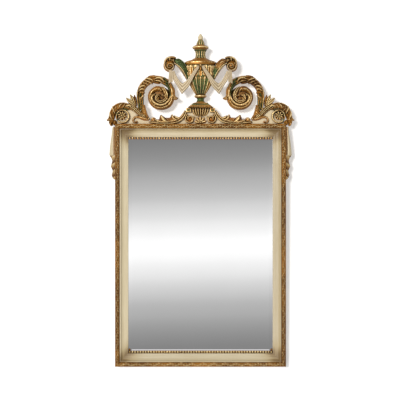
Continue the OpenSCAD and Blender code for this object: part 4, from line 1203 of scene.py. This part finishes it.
def spray(side, name):
    wood = Carving(f"leaf_spray_{name}_carved")
    strand(wood, [[241, 84], [237, 68], [233, 54], [225, 40]], [6, 13, 14, 8], [20, 22, 22, 20],
           side, reeded(2, 0.4), green=0.6, lit=0.8)
    leaflets(wood, SPRAY_LEAVES, (0.5, 0.9, 1.1, 1.0, 0.4), (-4, 0, 0, -5), side,
             reeded(2, 0.5), green=lambda t, s: 0.75 * bump(t, 0.25))
    strand(wood, UPRIGHT, [11, 16, 20, 14, 5], [24, 27, 27, 26, 24], side, reeded(3, 0.35),
           lit=0.82)
    strand(wood, STEM, [15, 23, 22, 20, 18, 7], [27, 30, 31, 31, 30, 27], side, reeded(4, 0.62),
           across=33, green=lambda t, s: 0.8 * (1 - np.abs(np.sin(2 * math.pi * (t + 1)))) * (
               s < 0.45), lit=1.1)
    strand(wood, CURL, [15, 21, 20, 16, 12, 10, 6], [24, 27, 27, 25, 25, 25, 22], side, finger,
           lit=0.92)
    knots(wood, SPRAY_KNOTS, (7, 3.4), 33, side, 0.75, back=12)
    # A bead set bright on a darker boss: a painted highlight.
    blob(wood, (256.5, 8.5), (5.6, 5.6), 24, side, around=20, ridge=0.45)
    blob(wood, (256.8, 9), (3.4, 3.4), 28, side, around=16, ridge=1.0)
    return wood.finish(gilt_green, f"leaf_spray_{name}")


both("spray", spray)

# %% [markdown]
# From the calyx a run of leaves follows the rail and climbs to the pedestal.  Each tip is a
# lobe of its own, set on a ribbed stem, so that shadow can lie deep between the tips.

# %% Base leaves
BASE_STEM = [[60, 54], [67, 38], [78, 24], [94, 13], [116, 7.5], [146, 6.5], [176, 8], [203, 11]]
BASE_FILL = [[84, 26], [98, 23.5], [117, 16], [140, 12.5], [165, 10.5], [192, 9]]
BASE_LOBES = (([[132, 4], [146, 12], [155, 23], [159.5, 36]], 25, 32, 1.25, 0.0),
              ([[138, 4], [158, 7], [172, 11], [182, 19]], 20, 30, 1.15, 0.0),
              ([[116, 8], [128, 13], [136, 19], [140, 25.5]], 15, 28, 1.0, 0.3),
              ([[90, 15], [104, 17], [112, 24], [115.5, 38]], 21, 31, 1.2, 0.1),
              ([[82, 22], [94, 23], [101, 27], [105, 34.5]], 14, 33, 1.4, 0.0),
              ([[92, 12], [106, 13], [118, 12], [124, 17]], 11, 31, 1.25, 0.0))


def base_leaves(side, name):
    wood = Carving(f"base_leaf_{name}_carved")

    def section(t, s):
        return (0.42 + 0.34 * dome(t + 0.2) + 0.50 * bump(t + 0.62, 0.30)
                - 0.2 * bump(t + 0.15, 0.14) + 0.25 * bump(t - 0.45, 0.25))

    strand(wood, BASE_STEM, [11, 16, 17, 16, 14, 14, 13, 11], [22, 24, 25, 27, 28, 28, 27, 25],
           side, section, across=25, lit=1.15,
           green=lambda t, s: 0.5 * bump(t - 0.35, 0.3) * (s < 0.45))
    strand(wood, BASE_FILL, [6, 16, 25, 23, 19, 10], [19, 21, 22, 22, 22, 20], side,
           reeded(3, 0.3), lit=0.8)
    leaflets(wood, BASE_LOBES, (0.5, 1.0, 1.0, 0.35), (-6, -2, -2, -6), side, dim=0.86)
    # The ball, and most of all the small boss on it, are set bright: painted highlight.
    blob(wood, (189.5, 18.5), (11.5, 10), 30.5, side, around=26, ridge=0.85)
    blob(wood, (193, 20.5), (4.6, 3.8), 32.5, side, back=20, turn=30, around=16, ridge=1.2)
    strand(wood, [[170, 5], [182, 5], [198, 4], [206, 9]], [7, 9, 8, 4], [27, 28, 27, 24], side,
           finger)
    return wood.finish(gilt_green, f"base_leaf_{name}")


both("base leaf", base_leaves)

# %% [markdown]
# ## Under the urn
#
# The pedestal is a moulded block on two small square ones.  Each block is a row of outlines
# that shrink towards the front, which rounds its edges as sanding does.

# %% Pedestal


def block(carving, x0, x1, z0, z1, back, front, soft, side=1, ridge=0.7, green=0.0):
    """Block whose front edges are rounded by soft, made of outlines that shrink forward."""
    corners = np.array([[x0, z0], [x1, z0], [x1, z1], [x0, z1], [x0, z0]], float)
    f = np.linspace(0, 1, 8, endpoint=False)[:, None]
    p = np.vstack([a * (1 - f) + b * f for a, b in zip(corners[:-1], corners[1:])])
    ahead = np.roll(p, -1, axis=0) - np.roll(p, 1, axis=0)
    ahead /= np.linalg.norm(ahead, axis=1)[:, None]
    a = np.linspace(0, math.pi / 2, 7)[:, None]
    less, height = soft * (1 - np.cos(a)), front - soft * (1 - np.sin(a))
    rows = crest_points(p[:, 0] - ahead[:, 1] * less, height, p[:, 1] + ahead[:, 0] * less, side)
    # The rounded edge gets a higher ridge: a painted highlight along it.
    lift = ridge + 0.25 * (1 - np.abs(4 * a / math.pi - 1))
    first = crest_points(p[None, :, 0], back, p[None, :, 1], side)
    carving.skin(np.concatenate([first, rows]), np.concatenate([lift[:1], lift]), green)


STEPS_UP = ((50, 64, 67.5, 39, 0.0), (46, 67, 71.5, 38, 0.1), (41, 71, 76, 36, 0.2),
            (35.5, 75.5, 80.5, 33, 0.9), (30.5, 80, 84, 31, 0.0))
pedestal = Carving("pedestal_moulded")
for half, low, high, front, tint in STEPS_UP:
    block(pedestal, -half, half, low, high, 0, front, 1.6, green=tint)
for side in SIDES.values():
    block(pedestal, 38, 58, 47, 64, BOARD_RELIEF, BOARD_RELIEF + 15, 2.2, side, ridge=0.85)
    block(pedestal, 42.5, 53.5, 51, 60, BOARD_RELIEF, BOARD_RELIEF + 16.2, 1.5, side, ridge=0.1,
          green=0.5)
print("pedestal points:", pedestal.finish(gilt_green, "pedestal"))

# %% [markdown]
# A shell of gadroons, a leaf with five lobes and two C scrolls fill the space down to the
# rail.  They are set a little into the board, so that no gap shows behind them.

# %% Shell, leaf and C scrolls
shell = Carving("gadroon_shell_carved")
for i in range(7):
    t = (i + 0.5) / 7 * 2 - 1
    front = BOARD_RELIEF + 9 + 12 * (1 - t * t)
    strand(shell, [[t * 35, 64], [t * 34, 54], [t * 29, 43], [t * 18, 32]],
           [8.5, 10.6, 9.6, 5], [front - 1, front, front - 3, front - 9], back=BOARD_BACK,
           section=lambda t, s: 0.05 + 0.95 * (1 - np.abs(t)) ** 0.6, lit=1.25)
shell.finish(gilt, "gadroon_shell")

fan = Carving("palmette_carved")
for i in (-2, 2, -1, 1, 0):
    turn, reach = 90 - i * 38, 29 - abs(i) * 2.0
    lobe = [round_line((0, 5), reach * share, turn, turn, 1)[0] for share in (0, 0.4, 0.75, 1)]
    strand(fan, lobe, [6, 13, 15, 6], [BOARD_RELIEF + h - abs(i) for h in (10, 15, 16, 10)],
           back=BOARD_BACK, section=finger, step=1.0, lit=1.25)
blob(fan, (0, 6), (5, 5), BOARD_RELIEF + 18, back=BOARD_BACK, ridge=0.9)
fan.finish(gilt, "palmette")


def pedestal_scroll(side, name):
    wood = Carving(f"pedestal_scroll_{name}_carved")
    wind = np.vstack([[[56, 47], [60, 40]], round_line((43.5, 21), (18, 5), 60, -400, 60)])
    strand(wood, wind, [5, 8, 9, 9, 8, 6], [24, 27, 28, 29, 30, 29], side, finger, BOARD_BACK,
           lit=1.2)
    # A dark ground and a dark hole, painted shade, below a bright boss, a painted highlight.
    blob(wood, (43.5, 21), (15, 15), 18, side, BOARD_BACK, around=30, ridge=0.3)
    blob(wood, (48, 25), (8, 6.5), 27, side, BOARD_BACK, turn=-40, ridge=0.25)
    blob(wood, (51, 30), (4.4, 3.6), 32, side, BOARD_BACK, ridge=1.4)
    strand(wood, [[24, 31], [30, 20], [33, 9], [42, 4]], [4, 7, 7, 4], [26, 29, 29, 26], side,
           finger, BOARD_BACK, lit=1.4)
    return wood.finish(gilt, f"pedestal_scroll_{name}")


both("pedestal scroll", pedestal_scroll)

# %% [markdown]
# ## Side drapery
#
# Beside each stile hangs a length of carved cloth.  Its upper part is smooth and swings out to
# a point, and its lower part falls in short folds whose edges step in and out.  It is one skin
# over a row of outlines down its length.

# %% Side drapery
DRAPE_TOP, DRAPE_LEN, DRAPE_OUT = -10, 214.0, 24.0
DRAPE_EDGE = [[0, 0.46], [0.10, 0.54], [0.26, 0.76], [0.40, 0.90], [0.53, 0.99], [0.575, 0.85],
              [0.615, 0.62], [0.66, 0.50], [0.70, 0.56], [0.765, 0.74], [0.80, 0.62],
              [0.845, 0.44], [0.88, 0.46], [0.935, 0.60], [0.965, 0.50], [1, 0.36]]


def drapery(side, name):
    """Cloth beside a stile: u runs out from the frame and v runs down."""
    u, v = np.linspace(0, 1, 26)[None, :], np.linspace(0, 1, 150)[:, None]
    spread = np.interp(v, *np.array(DRAPE_EDGE).T) * DRAPE_OUT
    smooth_part = 1 - np.clip((v - 0.48) / 0.12, 0, 1)
    pleats = wave(u * 1.4 + 0.12)
    folds = (1 - (v * 7.6 - 0.5 * u - 0.05) % 1.0) ** 0.8
    height = (27 - 9 * u**2 - 2.5 * (1 - pleats) * smooth_part
              - 5.0 * (1 - folds) * (1 - smooth_part))
    x = FRAME_HALF / MM + 0.3 + u * spread
    z = DRAPE_TOP - v * DRAPE_LEN + 5 * u * (1 - smooth_part) - 3 * u * (1 - v)
    # The ridge is high on the fold crests and low in the fold hollows: painted highlight and
    # shade.
    ridge = 0.55 + 0.35 * pleats * smooth_part + (0.45 * folds - 0.35) * (1 - smooth_part)
    strip = np.clip((8.0 - u * spread) / 1.5, 0, 1) * smooth_part
    gilded = np.maximum((1 - smooth_part) * 0.9, strip) + 0 * ridge
    under = crest_points(x[:, [0, -1]], [4.0, 8.0], z[:, [0, -1]], side)
    cloth = Carving(f"side_drapery_{name}_folded")
    cloth.skin(wrap(crest_points(x, height, z, side), under),
               rimmed(ridge * (1 - 0.4 * strip)),
               np.concatenate([gilded[:, :1], gilded, gilded[:, :1]], axis=1))
    return cloth.finish(drape_finish, f"side_drapery_{name}", slot=CREAM_WOOD)


def drapery_finish():
    """Cream above and gilding below, paler on the fold crests as rubbed leaf and painted
    highlight, with painted shade between the folds.
    """
    f = Finish("cream_and_gilt_drapery")
    ridge, gilded = f.kept("ridge"), f.kept("green")
    fine = f.noise(190.0, 4.0, 0.6)
    streak = f.noise(260.0, 3.0, 0.6, f.stretched(1, 1, 0.08))
    upper = f.mix((streak * 1.1 - 0.1).rise(0.35, 0.8) * 0.45, paint("c6b795"), CREAM_TONED)
    # Gilt folds: darker in the hollows and paler on the crests, as painted shade and highlight.
    lower = f.mix((ridge + fine * 0.4).rise(0.5, 1.0), LEAF_DEEP, paint("d8bd84"))
    body = f.mix((gilded + (fine - 0.5) * 0.3).rise(0.35, 0.7), upper, lower)
    # Painted shade: dark brown in the hollows between the folds.
    dark = 1 - (f.hollow(0.010) * (ridge * 0.8 + 0.4)).rise(0.15, 0.6)
    body = f.mix(dark * 0.85, body, GLAZE_AND_SHADE_BROWN)
    body, behind = bare_back(f, body, fine)
    gilded = gilded * (1 - behind)
    return f.surface({"Base Color": body, "Metallic": (gilded * 0.4).held(),
                      "Roughness": 0.5 - gilded * 0.1}, height=streak + fine * 0.4,
                     depth=0.0004, strength=0.4)


drape_finish = drapery_finish()
both("drapery", drapery)

# %% [markdown]
# ## Room, light and camera
#
# The mirror stands against a plain white wall that leans back a little, over a pale floor, so
# its shadow is wider at the crest than at the foot.  To the camera the plaster also glows a
# little, because the photo's wall is almost white.  The mirror and the carvings see it as an
# even pale grey, and from behind it can't be seen at all.

# %% Wall and floor
ROOM = 9.0
WALL_LEAN, WALL_GAP = 0.0235, 0.001
WALL_FOOT, WALL_HEAD = -6, 7
FLOOR_Z = FRAME_LOW - 0.95
PLASTER, PLASTER_GLOW = (0.75, 0.75, 0.753, 1.0), 0.34
BOUNCE = (0.8, 0.8, 0.8, 1.0)
WHITE = (1.0, 1.0, 1.0, 1.0)


def flat(name, half, near, far, finish):
    """A sheet between two lines across the room; near and far give the y and z of each."""
    mesh = bpy.data.meshes.new(name)
    mesh.from_pydata([(x, *line) for x, line in ((-half, near), (half, near), (half, far),
                                                 (-half, far))], [], [(0, 1, 2, 3)])
    mesh.materials.append(finish.material)
    obj = bpy.data.objects.new(name, mesh)
    bpy.context.scene.collection.objects.link(obj)
    return obj


wall = Finish("white_wall")
plaster = wall.add("BsdfDiffuse", {"Color": PLASTER})
glow = wall.add("Emission", {"Color": WHITE, "Strength": PLASTER_GLOW})
front = wall.add("MixShader", {0: wall.add("LightPath", out="Is Camera Ray"),
                               1: wall.add("Emission", {"Color": BOUNCE, "Strength": 1.0}),
                               2: wall.add("AddShader", {0: plaster, 1: glow})})
wall.add_end(wall.add("MixShader", {0: wall.add("NewGeometry", out="Backfacing"), 1: front,
                                    2: wall.add("BsdfTransparent")}))
foot, head = ((WALL_GAP + (z - FRAME_LOW) * WALL_LEAN, z) for z in (WALL_FOOT, WALL_HEAD))
flat("wall", ROOM, foot, head, wall)

ground = Finish("pale_floor")
ground.surface({"Base Color": ground.mix(ground.noise(3.0, 3.0), paint("f2f0ec"),
                                         paint("f8f7f4")), "Roughness": 0.7})
flat("floor", ROOM, (-ROOM, FLOOR_Z), (ROOM, FLOOR_Z), ground)

print("the floor is at", round(FLOOR_Z, 3), "and the wall leans", WALL_LEAN)

# %% [markdown]
# ## What the glass reflects
#
# A mirror shows the room before it, and the picture doesn't show that room.  So a large card
# stands between the mirror and the camera, and only mirrors can see it.  It is bright at the
# height of the lower glass and grey above and below, as a room with one window is.  A band at
# its foot lights the lower bevel.

# %% What the glass reflects
CARD_HALF, CARD_Y = 6, -2.6
CARD_TOP, CARD_FOOT = 4.2, -1.48
CARD_TILT, CARD_GAIN = 0.025, 1.08
BAND_TOP, BAND = -1.15, (0.76, 0.745, 0.76, 1)
CARD_GREYS = ((-1.003, 0.515), (-0.843, 0.64), (-0.723, 0.735), (-0.603, 0.86),
              (-0.493, 0.955), (-0.403, 1.0), (-0.323, 0.965), (-0.233, 0.89),
              (-0.113, 0.775), (0.072, 0.63), (0.257, 0.503))


def on_ramp(height):
    """Where a height in metres falls on the ramp, which runs from -1.5 to 0.5."""
    return (height + 1.5) * 0.5


card = Finish("room_in_the_glass")
x, y, z = card.parts(card.place())
greys = card.add("ValToRGB", {0: on_ramp(z - x * CARD_TILT)})
ramp = greys.socket.node.color_ramp
ramp.interpolation = "CARDINAL"
for place, shade in CARD_GREYS:
    ramp.elements.new(on_ramp(place)).color = (shade**2.2,) * 3 + (1.0,)
for end in (0, -1):
    ramp.elements[end].color = (CARD_GREYS[end][1] ** 2.2,) * 3 + (1.0,)
band = 1 - z.rise(BAND_TOP, BAND_TOP + 0.01)
card.add_end(card.add("Emission", {"Color": card.mix(band, greys, BAND),
                                   "Strength": CARD_GAIN}))
screen = flat("card", CARD_HALF, (CARD_Y, CARD_FOOT), (CARD_Y, CARD_TOP), card)
screen.visible_camera = screen.visible_diffuse = screen.visible_shadow = False
screen.visible_transmission = False
print("greys on the card:", len(CARD_GREYS))

# %% [markdown]
# ## Light
#
# A broad lamp from the upper left casts the soft shadow to the lower right.  The world fills
# the rest, so that a colour shows about as it is written.  Surfaces get less of it than the
# camera and the glass see, because otherwise the shadow would be lost.

# %% Light
KEY_AIM = Vector((0.39, 1.0, -0.21))
KEY_ENERGY, KEY_SPREAD, KEY_COLOUR = 2.65, 13, (1.0, 0.985, 0.96)
SKY_FILL = 0.30
scene = bpy.context.scene
key = bpy.data.objects.new("key", bpy.data.lights.new("key", "SUN"))
key.data.energy = KEY_ENERGY
key.data.angle = math.radians(KEY_SPREAD)
key.data.color = KEY_COLOUR
key.rotation_mode = "QUATERNION"
key.rotation_quaternion = KEY_AIM.to_track_quat("-Z", "Y")
scene.collection.objects.link(key)

sky = Finish("plain_light", bpy.data.worlds)
scene.world = sky.material
direct = sum(sky.add("LightPath", out=f"Is {ray} Ray")
             for ray in ("Camera", "Glossy", "Transmission")).held()
sky.add_end(sky.add("Background", {"Color": WHITE,
                                   "Strength": SKY_FILL + direct * (1 - SKY_FILL)}), "World")
scene.view_settings.view_transform = "Standard"
print("lamp", KEY_ENERGY, "and sky", SKY_FILL)

# %% [markdown]
# ## Camera
#
# The photo was taken from straight ahead and from some way off, so the frame's sides look
# parallel.  The picture is `VIEW_WIDTH` metres wide at `VIEW_PLANE`, the depth of the carving.

# %% Camera
SENSOR = 36.0
VIEW_WIDTH, VIEW_DEPTH, VIEW_PLANE = 1.6, 4.9, -0.041
EYE_X, EYE_Z = -0.0021, -0.1128
lens = bpy.data.cameras.new("camera")
lens.sensor_width = SENSOR
lens.lens = SENSOR * VIEW_DEPTH / VIEW_WIDTH
camera = bpy.data.objects.new("camera", lens)
camera.location = (EYE_X, VIEW_PLANE - VIEW_DEPTH, EYE_Z)
camera.rotation_euler = (math.radians(90), 0, 0)
scene.collection.objects.link(camera)
scene.camera = camera
print("camera", tuple(round(v, 4) for v in camera.location), "lens", round(lens.lens, 2))
